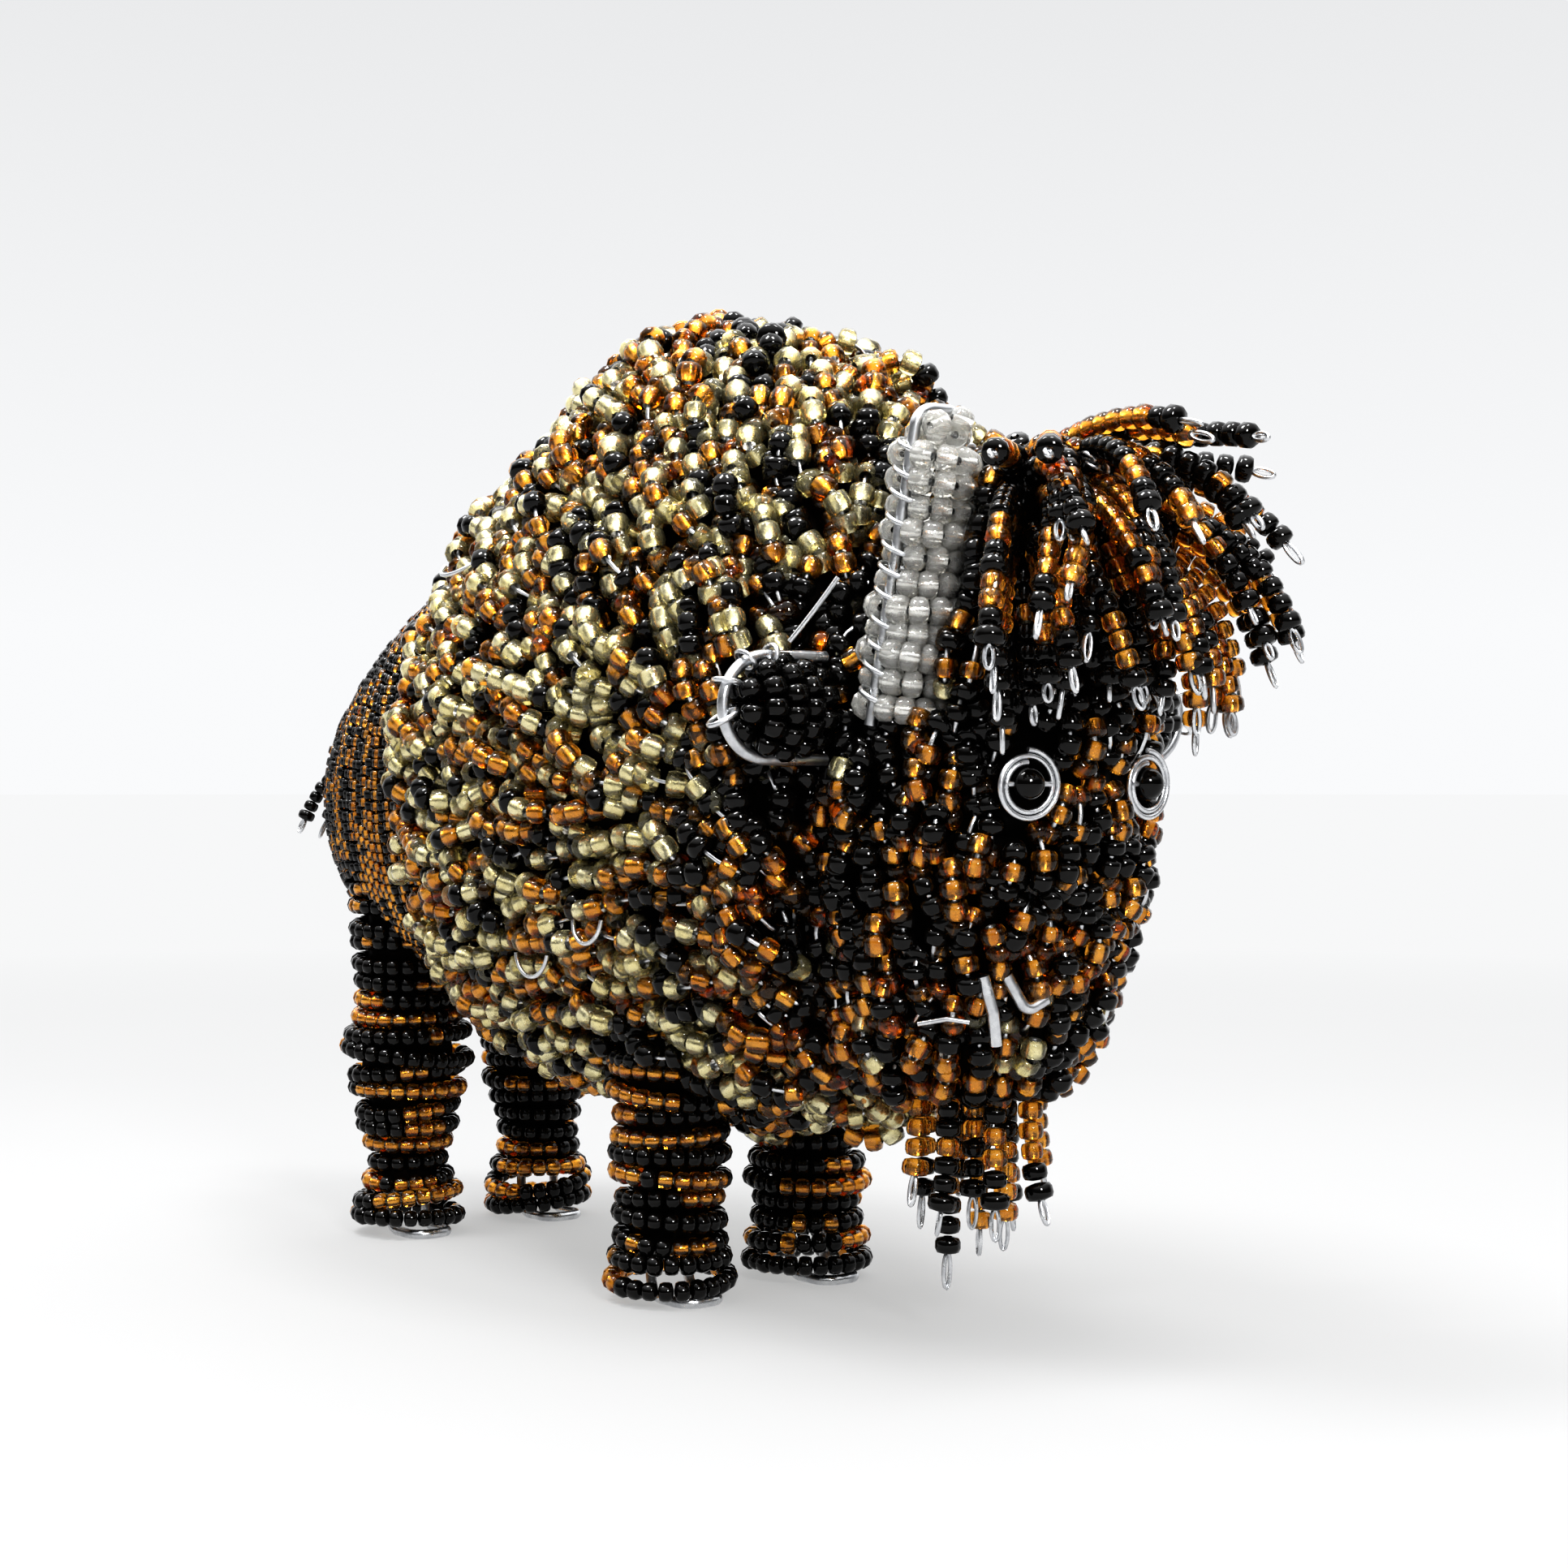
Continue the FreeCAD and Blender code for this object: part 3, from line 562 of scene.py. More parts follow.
class Stitches:
    """Small arches of threaded beads. Each is part of a circle: middle = top + r (sin a along +
    (cos a - 1) standing), with the bead's axis along the circle, and one thin wire through its
    beads. A share of the beads, steady, keeps the stitch's main colour."""

    def __init__(
        self, root, along, standing, count, sweep, pitch, gap, lift, radius, length, weights, steady
    ):
        many = len(root)
        standing = unit(standing)
        side = unit(np.cross(along, standing))
        along = np.cross(standing, side)
        order = np.arange(MOST_BEADS)[None, :]
        parting = 1 + (draw.random(many) * np.maximum(count - 1, 1)).astype(int)
        reach = order * pitch[:, None] + gap[:, None] * (order >= parting[:, None])
        whole = (count - 1) * pitch + gap
        bend = (whole + pitch) / sweep
        angle = (reach - whole[:, None] / 2) / bend[:, None]
        held = order < count[:, None]
        top = root + standing * lift[:, None]
        circle = bend[:, None, None]
        sine, cosine = np.sin(angle)[..., None], np.cos(angle)[..., None]
        middles = top[:, None] + circle * (sine * along[:, None] + (cosine - 1) * standing[:, None])
        axes = cosine * along[:, None] - sine * standing[:, None]
        main = pick(weights)
        spread = np.repeat(weights[:, None], MOST_BEADS, axis=1)
        other = pick(spread)
        colours = np.where(draw.random((many, MOST_BEADS)) < steady, main[:, None], other)
        radii = radius * (1 + 0.06 * draw.standard_normal((many, MOST_BEADS)))
        lengths = length * (1 + 0.09 * draw.standard_normal((many, MOST_BEADS)))
        self.held, self.middles, self.axes = held, middles, axes
        self.colours, self.radii, self.lengths = colours, radii, lengths
        a = np.linspace(-0.5, 0.5, 9)[None, :] * sweep[:, None]
        self.wire = top[:, None] + circle * (
            np.sin(a)[..., None] * along[:, None] + (np.cos(a)[..., None] - 1) * standing[:, None]
        )
        self.side = side

    def into(self, piece, chosen, wires, wire_radius):
        """Puts the chosen stitches' beads into a piece, and lays their wires."""
        held = self.held & chosen[:, None]
        strings.sort(
            piece,
            self.colours[held],
            self.middles[held],
            self.axes[held],
            self.radii[held],
            self.lengths[held],
        )
        thin_wires(wires, self.wire[chosen], self.side[chosen], wire_radius)


LEG_TRACK, LEG_BASE, LEG_ROOM, LEG_ROOT = 10.0, 27.5, 7.6, 45.0


def clear_of_legs(points):
    """True where a point is not inside a leg's sleeve."""
    dx = np.abs(np.abs(points[:, 0]) - LEG_TRACK)
    dy = np.abs(np.abs(points[:, 1]) - LEG_BASE)
    return (np.hypot(dx, dy) > LEG_ROOM) | (points[:, 2] > LEG_ROOT)


# Stations of the coat's rows, then the room for a stitch, and a bead's radius, length and pitch.
COAT_ROWS = np.concatenate([np.arange(8.4, -50.0, -4.1), np.arange(-51.5, -58.6, -2.2)])
COAT_ROOM, COAT_BEAD, COAT_LENGTH, COAT_PITCH = 3.25, 1.42, 2.02, 2.12
# Shares of straw, amber and black, on the flank and on the shaded neck.
FLANK_SHARES, NECK_SHARES = np.array([0.50, 0.34, 0.16]), np.array([0.015, 0.46, 0.52])
BODY_HEIGHT = 60.0


def coat_stitches():
    """Rows of arches round the body from the flank to the neck, a brick's half step apart."""
    along_rows, angle_rows = [], []
    for number, station in enumerate(COAT_ROWS):
        _, width, height = sections_at(COAT, np.array([station]))[0]
        _, edge = evenly_round(width, height, 4, 0.0)
        count = int(edge / COAT_ROOM)
        angles, _ = evenly_round(width, height, count, 0.5 * (number % 2))
        along_rows.append(np.full(count, station) + draw.normal(0.0, 0.55, count))
        angle_rows.append(angles + draw.normal(0.0, 0.45, count) / (edge / (2 * np.pi)))
    along, angle = np.concatenate(along_rows), np.concatenate(angle_rows)
    along = np.clip(along, -58.9, 9.9)
    point, back, around, normal = surface_frame(lambda a, b: upright_oval(COAT, a, b), along, angle)
    outside = normal[:, 0] * point[:, 0] + normal[:, 2] * (point[:, 2] - BODY_HEIGHT)
    normal *= np.sign(outside)[:, None]
    down = around * np.where(around[:, 2:3] > 0, -1.0, 1.0)
    keep = clear_of_legs(point)
    point, back, down, normal = (v[keep] for v in (point, back, down, normal))
    many = len(point)
    height = point[:, 2]
    headward = smooth_step(-point[:, 1], 44.0, 57.0) * (1 - smooth_step(height, 66.0, 82.0))
    slant = np.radians(4.0 + 44.0 * smooth_step(height, 40.0, 78.0))
    slant = slant * (1 - headward) + math.radians(82.0) * headward
    slant = slant + np.radians(draw.normal(0.0, 17.0, many))
    way = -np.cos(slant)[:, None] * back + np.sin(slant)[:, None] * down
    crest = smooth_step(height, 80.0, 96.0)
    under = smooth_step(-height, -30.0, -22.0)
    count = draw.choice([3, 4, 5], many, p=[0.3, 0.5, 0.2])
    sweep = np.radians(128.0 + 34.0 * crest + 20.0 * under + draw.normal(0.0, 20.0, many))
    pitch = np.full(many, COAT_PITCH)
    gap = np.where(draw.random(many) < 0.3 + 0.45 * headward, 1.1 + 0.7 * draw.random(many), 0.0)
    lift = 0.1 + draw.normal(0.0, 0.55, many) + 0.4 * crest + 1.2 * under * draw.random(many)
    lift += 1.5 * (draw.random(many) < 0.14)
    lean = normal + 0.22 * draw.standard_normal((many, 3))
    lean += 0.25 * (1 - headward)[:, None] * back * crest[:, None]
    shaded = (headward * smooth_step(height, 20.0, 34.0))[:, None]
    weights = FLANK_SHARES + (NECK_SHARES - FLANK_SHARES) * shaded
    made = Stitches(
        in_body(point), way, lean, count, sweep, pitch * MM, gap * MM, lift * MM,
        COAT_BEAD * MM, COAT_LENGTH * MM, weights, 0.5,
    )
    return made, point


WITHERS, SPLIT, SHOULDER = -19.0, 63.75, -46.0
coat, coat_root = coat_stitches()
neck_part = coat_root[:, 1] < SHOULDER
front_part = (coat_root[:, 1] < WITHERS) & ~neck_part
rear_part = ~(front_part | neck_part)
upper_part = coat_root[:, 2] > SPLIT
COAT_PARTS = {
    "back_fur": rear_part & upper_part,
    "belly_fur": rear_part & ~upper_part,
    "hump_fur": front_part & upper_part,
    "chest_fur": front_part & ~upper_part,
    "neck_fur": neck_part,
}
for part, chosen in COAT_PARTS.items():
    coat.into(part, chosen, f"{part}_wires", 0.22 * MM)

# Heights of the rows over the face and the crown, then the room for a stitch, a bead's radius,
# length and pitch, and the wire's radius.
FACE_ROWS, CROWN_ROWS = np.arange(27.5, 86.0, 3.7), np.array([85.7, 87.7, 88.75, 89.2])
FACE_ROOM, FACE_BEAD, FACE_LENGTH, FACE_PITCH, FACE_WIRE = 2.85, 1.36, 1.9, 2.0, 0.25
FACE_BACK = -55.5
HORN_SPOTS = np.array([(-12.0, -69.0), (12.0, -69.0)])
EYE_SPOTS = np.array([(-7.7, -81.6, 57.0), (7.7, -81.6, 57.0)])
EAR_SPOTS = np.array([(-20.0, -62.5, 64.5), (20.0, -62.5, 64.5)])
# No stitch starts nearer than these, and no bead lies nearer an eye than the last.
EYE_SPACE, EAR_SPACE, HORN_SPACE, HORN_FOOT, EYE_ROOM = 4.6, 3.2, 6.6, 62.0, 3.8


def face_stitches(levels):
    """Upright arches in columns over the face, with bare wire showing between their beads."""
    heights, angles = [], []
    for number, level in enumerate(levels):
        _, width, depth = sections_at(HEAD, np.array([level]))[0]
        _, edge = evenly_round(width, depth, 4, 0.0)
        count = max(int(edge / FACE_ROOM), 3)
        turn, _ = evenly_round(width, depth, count, 0.5 * (number % 2))
        heights.append(level + draw.normal(0.0, 0.6, count))
        angles.append(turn + draw.normal(0.0, 0.35, count) / (edge / (2 * np.pi)))
    height, angle = np.clip(np.concatenate(heights), 26.2, 89.2), np.concatenate(angles)
    point, up, around, normal = surface_frame(level_oval, height, angle)
    outside = np.sum(normal[:, :2] * (point[:, :2] - [0.0, -64.0]), axis=1)
    normal *= np.sign(outside)[:, None]
    keep = point[:, 1] < FACE_BACK
    for spot in EYE_SPOTS:
        keep &= np.linalg.norm(point - spot, axis=1) > EYE_SPACE
    for spot in EAR_SPOTS:
        keep &= np.linalg.norm(point - spot, axis=1) > EAR_SPACE
    for spot in HORN_SPOTS:
        beside = np.linalg.norm(point[:, :2] - spot, axis=1) > HORN_SPACE
        keep &= beside | (point[:, 2] < HORN_FOOT)
    point, up, around, normal = (v[keep] for v in (point, up, around, normal))
    many = len(point)
    tilt = np.radians(draw.normal(0.0, 13.0, many))
    way = -np.cos(tilt)[:, None] * up + np.sin(tilt)[:, None] * around
    count = draw.choice([3, 4], many, p=[0.6, 0.4])
    sweep = np.radians(118.0 + draw.normal(0.0, 16.0, many))
    gap = np.where(draw.random(many) < 0.38, 0.9 + 0.6 * draw.random(many), 0.0)
    lift = 0.3 + draw.normal(0.0, 0.5, many)
    chin = smooth_step(-point[:, 2], -46.0, -34.0)
    brow = smooth_step(point[:, 2], 52.0, 64.0)
    straw, amber, black = 0.008 + 0.05 * chin, 0.50 + 0.06 * chin - 0.26 * brow, 0.48 + 0.2 * brow
    weights = np.stack([straw, amber, black], axis=-1)
    lean = normal + 0.2 * draw.standard_normal((many, 3))
    made = Stitches(
        in_head(point), head_way(way), head_way(lean), count, sweep,
        np.full(many, FACE_PITCH) * MM, gap * MM, lift * MM,
        FACE_BEAD * MM, FACE_LENGTH * MM, weights, 0.55,
    )
    for eye in (right_eye, left_eye):
        made.held &= np.linalg.norm(made.middles - eye, axis=-1) > EYE_ROOM * MM
    return made, np.ones(many, bool)


face, every_face = face_stitches(FACE_ROWS)
face.into("face_fur", every_face, "face_fur_wires", FACE_WIRE * MM)

# The dark rows that the arches stand on, their near black also painted shade in the gaps. Bearings
# round each ring of a skin.
bearings = np.linspace(0.0, 2 * np.pi, 49)[:-1]
COAT_INSET, RUMP_INSET, FACE_INSET, LEG_INSET, LEAST = 2.5, 0.9, 2.1, 1.5, 0.4
FACE_REAR, CROWN_SINK = -56.5, 1.2


def rows_and_shade_skin(name, table, stations, inset):
    """Rows under the coat, near black as painted shade in the gaps: the body's ovals made smaller by an
    inset, skinned from end to end.
    """
    along = np.asarray(stations)[:, None]
    centre, width, height = sections_at(table, stations).T[:, :, None]
    x = neck_sway(along) + np.maximum(width - inset, LEAST) * np.sin(bearings)
    z = centre + np.maximum(height - inset, LEAST) * np.cos(bearings)
    rings = np.stack([x, np.broadcast_to(along, x.shape), z], axis=-1)
    closed_skin(name, in_body(rings))


rows_and_shade_skin("coat_rows_and_shade", COAT, np.linspace(8.0, -56.5, 34), COAT_INSET)
rump_stations = np.concatenate([np.linspace(45.9, 43.0, 8), np.linspace(42.0, 9.0, 22)])
rows_and_shade_skin("rump_rows_and_shade", RUMP, rump_stations, RUMP_INSET)

# The dark rows under the face, also painted shade in the gaps: the head's ovals made smaller, flat
# behind and sunk a little at the crown.
levels = np.concatenate([(89.2, 88.9), np.linspace(88.4, 27.5, 34)])[:, None]
centre, width, depth = sections_at(HEAD, levels[:, 0]).T[:, :, None]
x = np.maximum(width - FACE_INSET, LEAST) * np.sin(bearings)
y = np.minimum(centre - np.maximum(depth - FACE_INSET, LEAST) * np.cos(bearings), FACE_REAR)
z = np.broadcast_to(levels - CROWN_SINK * smooth_step(levels, 84.0, 88.0), x.shape)
closed_skin("face_rows_and_shade", in_head(np.stack([x, y, z], axis=-1)))

# ---------------------------------------------------------------- rump


def runs(many, weights, mean_run):
    """Colour numbers in runs: each next bead keeps the last colour unless a new one is drawn."""
    fresh = draw.random(many) < 1.0 / mean_run
    fresh[0] = True
    drawn = pick(np.tile(weights, (many, 1)))
    last = np.maximum.accumulate(np.where(fresh, np.arange(many), 0))
    return drawn[last]


RUMP_PITCH, RUMP_ROW, RUMP_BEAD, RUMP_LENGTH, RUMP_SINK = 1.3, 1.48, 0.77, 1.2, 0.25
RUMP_END, RUMP_START, RUMP_TIP, RUMP_MIDDLE = 46.55, 9.6, 46.6, 55.0
rump_fine = np.linspace(RUMP_END, 9.7, 400)
rump_girth = sections_at(RUMP, rump_fine)[:, 1:].mean(axis=1)
rump_run = np.concatenate([[0.0], np.cumsum(np.hypot(np.diff(rump_fine), np.diff(rump_girth)))])
for station in np.interp(np.arange(0.2, rump_run[-1], RUMP_ROW), rump_run, rump_fine):
    _, width, height = sections_at(RUMP, np.array([station]))[0]
    _, edge = evenly_round(width, height, 4, 0.0)
    count = max(int(edge / RUMP_PITCH), 5)
    angle, _ = evenly_round(width, height, count, draw.random())
    stray = 0.9 * np.sin(angle * 2 + 0.4) + draw.normal(0.0, 0.12, count)
    along = station + stray * min(1.0, (RUMP_TIP - station) / 6.0)
    along = np.clip(along, RUMP_START, RUMP_END)
    point, _, tangent, normal = surface_frame(lambda a, b: upright_oval(RUMP, a, b), along, angle)
    keep = clear_of_legs(point)
    middle = point - unit(point - [0.0, 0.0, RUMP_MIDDLE] - point * [0, 1, 0]) * RUMP_SINK
    middle = middle + draw.normal(0.0, 0.09, middle.shape)
    colours = runs(count, np.array([0.0, 0.47, 0.53]), 3.0)
    radii = RUMP_BEAD * MM * (1 + 0.08 * draw.standard_normal(count))
    strings.sort(
        RUMP_PIECE, colours[keep], in_body(middle[keep]), tangent[keep], radii[keep],
        np.full(keep.sum(), RUMP_LENGTH * MM),
    )

# ---------------------------------------------------------------- legs


def wound_ring(middle, radius, pitch, tilt, phase):
    """Beads round a level circle that leans by a small tilt: centre plus radius (cos a, sin a,
    tilt cos(a - phase))."""
    count = max(int(2 * np.pi * radius / pitch), 4)
    a = 2 * np.pi * (np.arange(count) + draw.random()) / count
    ring = middle + radius * np.stack([np.cos(a), np.sin(a), tilt * np.cos(a - phase)], axis=-1)
    axis = np.stack([-np.sin(a), np.cos(a), -tilt * np.sin(a - phase)], axis=-1)
    return ring, axis, count


# Height and radius, up a front leg and a hind leg.
LEG_OUTLINE = {
    "front": ((1.2, 6.6), (4.5, 6.2), (9.5, 5.3), (18.0, 6.2), (48.0, 6.6)),
    "hind": ((1.2, 6.8), (4.0, 6.4), (9.0, 4.8), (13.5, 5.3), (21.0, 7.3), (30.0, 6.5), (48.0, 6.4)),
}
LEG_ROW, LEG_PITCH, LEG_BEAD, LEG_LENGTH, LEG_SINK = 2.3, 1.72, 1.12, 1.66, 0.25
LEG_TOPS, CORE_FOOT = {-1: 31.0, 1: 44.0}, 6.0
for leg in LEG_NAMES:
    side = -1 if "right" in leg else 1
    end = -1 if "front" in leg else 1
    outline = LEG_OUTLINE[leg.split("_")[0]]
    for level in np.arange(LEG_ROW, LEG_TOPS[end], LEG_ROW):
        radius = np.interp(level, *zip(*outline)) - LEG_SINK + draw.normal(0.0, 0.42)
        middle = np.array([side * LEG_TRACK, end * LEG_BASE, level + draw.normal(0.0, 0.1)])
        tilt = draw.normal(0.0, 0.06)
        ring, axis, count = wound_ring(middle, radius, LEG_PITCH, tilt, draw.random() * 6.28)
        colours = runs(count, np.array([0.0, 0.34, 0.66]), 3.0)
        radii = LEG_BEAD * MM * (1 + 0.06 * draw.standard_normal(count))
        lengths = np.full(count, LEG_LENGTH * MM)
        strings.sort(f"{leg}_leg_beads", colours, in_body(ring), axis, radii, lengths)
    # A near black core inside each leg's rings, painted shade between the beads.
    core = np.linspace(LEG_TOPS[end], CORE_FOOT, 16)[:, None]
    radius = np.interp(core, *zip(*outline)) - LEG_INSET
    x, y = side * LEG_TRACK + radius * np.sin(bearings), end * LEG_BASE + radius * np.cos(bearings)
    rings = np.stack([x, y, np.broadcast_to(core, x.shape)], axis=-1)
    closed_skin(f"{leg}_leg_core", in_body(rings))

# ---------------------------------------------------------------- horns

HORN_LEAN = math.radians(8.5)
lean_cos, lean_sin = math.cos(HORN_LEAN), math.sin(HORN_LEAN)
horn_turn = np.array([[1, 0, 0], [0, lean_cos, -lean_sin], [0, lean_sin, lean_cos]])
# The hairpin's height and its half widths at foot and tip, then the rows and their beads.
HORN_TOP, HORN_WIDTHS, HORN_LEVEL = 29.0, (5.0, 2.7), 63.5
HORN_ROW, HORN_BEAD, HORN_LENGTH, HORN_PITCH, LEG_GAP = 2.42, 1.46, 2.05, 2.0, 1.7
CAPS = np.array([(-1.5, -1.7, 28.7), (1.4, -1.6, 29.2), (0.0, 1.7, 29.2)])
CAP_WAYS = np.array([(1.0, 0.2, 0.2), (1.0, -0.2, -0.3), (1.0, 0.0, 0.1)])


def horn_row(level, radius, tilt):
    """Beads from one leg of the hairpin round to the other, on both sides: (r cos a, r sin a,
    level + tilt r cos a), with a starting a gap past a leg. Also their directions."""
    start = LEG_GAP / radius
    count = int(round((math.pi - 2 * start) * radius / HORN_PITCH)) + 1
    half = np.linspace(start, math.pi - start, count)
    a = np.concatenate([half, half + math.pi])
    x, y = radius * np.cos(a), radius * np.sin(a)
    row = np.stack([x, y, level + tilt * radius * np.cos(a)], axis=-1)
    return row, np.stack([-np.sin(a), np.cos(a), -tilt * np.sin(a)], axis=-1)


def in_horn(points, side):
    """Millimetres up a horn from its foot, as metres in the row's frame."""
    foot = np.array([*HORN_SPOTS[(side + 1) // 2], HORN_LEVEL])
    return in_head(np.asarray(points, float) @ horn_turn.T + foot)


for side, name in ((-1, "right_horn"), (1, "left_horn")):
    for level in np.arange(1.2, 28.5, HORN_ROW):
        edge = np.interp(level, (0.0, HORN_TOP), HORN_WIDTHS)
        radius = edge - 0.1 - 0.9 * (level > 27.0) + draw.normal(0.0, 0.3)
        ring, axis = horn_row(level, radius, draw.normal(0.0, 0.1))
        radii = HORN_BEAD * MM * (1 + 0.05 * draw.standard_normal(len(ring)))
        ways, lengths = head_way(axis @ horn_turn.T), np.full(len(ring), HORN_LENGTH * MM)
        strings.add(f"{name}_beads", "clear", in_horn(ring, side), ways, radii, lengths)
    lying = head_way(CAP_WAYS @ horn_turn.T)
    caps = in_horn(CAPS, side)
    strings.add(f"{name}_beads", "clear", caps, lying, 1.5 * MM, np.full(3, 2.1 * MM))
    loops = []
    a = np.linspace(0.0, 2 * np.pi, 25)
    for level in np.arange(2.3, 28.0, HORN_ROW):
        edge = np.interp(level, (0.0, HORN_TOP), HORN_WIDTHS)
        for across in (-1, 1):
            x, y = across * (edge - 0.1 + 1.3 * np.cos(a)), 1.7 * np.sin(a)
            z = level - 0.6 * across * np.sin(a) + 0.2 * math.sin(7 * level)
            loops.append(in_horn(np.stack([x, y, z], axis=-1), side))
    upright = np.repeat(head_way(np.array([[0.0, 0.0, 1.0]]) @ horn_turn.T), len(loops), axis=0)
    thin_wires(f"{name}_wraps", loops, upright, 0.26 * MM, (f"{name}_lashing",))

# ---------------------------------------------------------------- ears

# Radius of the arch, how far out its middle is, and the bearings of the thin turns round it.
EAR_ARCH, EAR_ARCH_START = 5.2, 1.6
EAR_WRAP_BEARINGS = (95.0, 62.0, 28.0, -12.0)
# Distance out along the ear, half depth and half height of each ring of beads.
EAR_RINGS = ((-4.4, 2.0, 3.0), (-2.3, 2.6, 3.9), (-0.1, 2.8, 4.3), (2.1, 2.5, 3.8), (4.2, 1.5, 2.2))
EAR_MIDDLE, EAR_BEAD, EAR_LENGTH, EAR_PITCH = (23.3, -62.5, 64.5), 1.28, 1.9, 2.0

for side, name in ((-1, "right_ear"), (1, "left_ear")):
    mirror = np.array([side, 1, 1])
    for offset, half_y, half_z in EAR_RINGS:
        _, edge = evenly_round(half_y, half_z, 4, 0.0)
        count = int(edge / EAR_PITCH)
        angle, _ = evenly_round(half_y, half_z, count, draw.random())
        sine, cosine = np.sin(angle), np.cos(angle)
        middle = np.stack([np.full(count, offset), half_y * sine, half_z * cosine], axis=-1)
        axis = head_way(np.stack([np.zeros(count), half_y * cosine, -half_z * sine], axis=-1))
        place, lengths = in_head((middle + EAR_MIDDLE) * mirror), np.full(count, EAR_LENGTH * MM)
        strings.add(f"{name}_beads", "black", place, axis, EAR_BEAD * MM, lengths)
    wraps = []
    a = np.linspace(0.0, 2 * np.pi, 25)[:, None]
    for b in np.radians(EAR_WRAP_BEARINGS):
        out = np.array([math.cos(b), 0.0, math.sin(b)])
        hold = EAR_ARCH * out + [EAR_ARCH_START, 0.0, 0.0]
        ring = hold + 1.5 * np.cos(a) * out + 1.25 * np.sin(a) * [0.0, 1.0, 0.0]
        ring -= 0.5 * np.cos(a) * [0.0, 0.0, 1.0]
        wraps.append(in_head((ring + EAR_MIDDLE) * mirror))
    wraps = np.array(wraps)
    sides = unit(np.cross(wraps[:, 0] - wraps[:, 6], wraps[:, 6] - wraps[:, 12]))
    thin_wires(f"{name}_wraps", wraps, sides, 0.27 * MM)

# ---------------------------------------------------------------- strands

# Number of strands, half of their fan in degrees, then distance out from the crown and height of
# each strand's root, middle and tip.
FORELOCK_TIERS = [
    (8, 40.0, (0.5, 88.4), (5.5, 90.2), (11.0, 88.8)),
    (6, 44.0, (2.0, 88.5), (12.5, 91.4), (22.5, 90.4)),
    (10, 50.0, (4.5, 87.5), (15.8, 88.6), (25.0, 81.5)),
    (12, 52.0, (8.0, 86.0), (18.0, 83.0), (24.6, 73.0)),
    (11, 50.0, (10.0, 83.5), (17.4, 77.5), (20.5, 68.5)),
    (9, 50.0, (12.0, 80.0), (16.6, 73.5), (17.6, 66.5)),
]
CROWN, CROWN_DROP = -72.0, 11.0
FAN_LIMIT = math.radians(47.0)
# Radius of a ring of beard strands, their number and their length; then the ring's middle, the
# chin's height and the height of the roots.
BEARD_RINGS = [(2.9, 4, 13.2), (6.2, 8, 11.0)]
BEARD_MIDDLE, CHIN, BEARD_ROOT = -64.5, 25.5, 27.0


def bow(start, middle, end):
    """The parabola through three points: start (1-t)^2 + control 2t(1-t) + end t^2, whose control
    point makes it pass the middle point halfway."""
    control = 2 * middle - (start + end) / 2
    t = np.linspace(0.0, 1.0, 60)[:, None]
    return (1 - t) ** 2 * start + 2 * t * (1 - t) * control + t**2 * end


def thread(piece, route, radius, length, weights, mean_run):
    """Beads at even distances along a route, each along the route's own direction. Some strands
    end in two black beads. Gives the last bead's middle and direction."""
    run = np.concatenate([[0.0], np.cumsum(np.linalg.norm(np.diff(route, axis=0), axis=1))])
    count = max(int(run[-1] / (length * 1.04)), 1)
    at = (np.arange(count) + 0.5) * run[-1] / count
    way = np.gradient(route, axis=0)
    middles = np.stack([np.interp(at, run, route[:, k]) for k in range(3)], axis=-1)
    axes = np.stack([np.interp(at, run, way[:, k]) for k in range(3)], axis=-1)
    colours = runs(count, weights, mean_run)
    if draw.random() < 0.4:
        colours[-2:] = 2
    radii = radius * (1 + 0.06 * draw.standard_normal(count))
    radii[-1] *= 1.14
    strings.sort(piece, colours, middles, axes, radii, np.full(count, length))
    return middles[-1], unit(axes[-1])


def tip_loop(end, way, across, length, half_width):
    """A teardrop of wire past a strand's end: along = length cos^2(pi t / 2) and across = half
    width sin(pi t), t from -1 to 1."""
    t = np.linspace(-1.0, 1.0, 21)[:, None]
    reach = way * (length * np.cos(np.pi * t / 2) ** 2)
    return end + reach + across * (half_width * np.sin(np.pi * t))


def hang(piece, routes, bead_radius, bead_length, weights, mean_run, loop_length):
    """Strands with a loop of wire at each tip."""
    loops, sides = [], []
    for route in routes:
        end, way = thread(piece, route, bead_radius, bead_length, weights, mean_run)
        across = unit(np.cross(way, draw.standard_normal(3)))
        start = end + way * bead_length * 0.45
        length = loop_length * (0.7 + 0.6 * draw.random())
        loops.append(tip_loop(start, way, across, length, 0.4 * MM))
        sides.append(unit(np.cross(way, across)))
    node = piece.replace("_strands", "_wire_loops")
    thin_wires(f"{node}_thin", loops, sides, 0.23 * MM, (node,))


forelock = []
for count, fan, *reaches in FORELOCK_TIERS:
    for i in range(count):
        angle = math.radians(fan) * (2 * i / (count - 1) - 1) + draw.normal(0.0, 0.05)
        stretch = 1 + draw.normal(0.0, 0.05)
        sag, veer = draw.normal(0.0, 1.1), draw.normal(0.0, 0.07)
        points = []
        for step, (reach, z) in enumerate(reaches):
            out = reach * (stretch if step else 1.0)
            drop = CROWN_DROP * (1 - math.cos(angle))
            bearing = np.clip(angle + veer * step, -FAN_LIMIT, FAN_LIMIT)
            x, y = math.sin(bearing) * out, CROWN - math.cos(bearing) * out
            points.append((x, y, z - drop + sag * step / 2))
        forelock.append(bow(*in_head(points)))
AMBER_MOSTLY = np.array([0.0, 0.58, 0.42])
hang("forelock_strands", forelock, 1.2 * MM, 1.72 * MM, AMBER_MOSTLY, 2.6, 2.2 * MM)

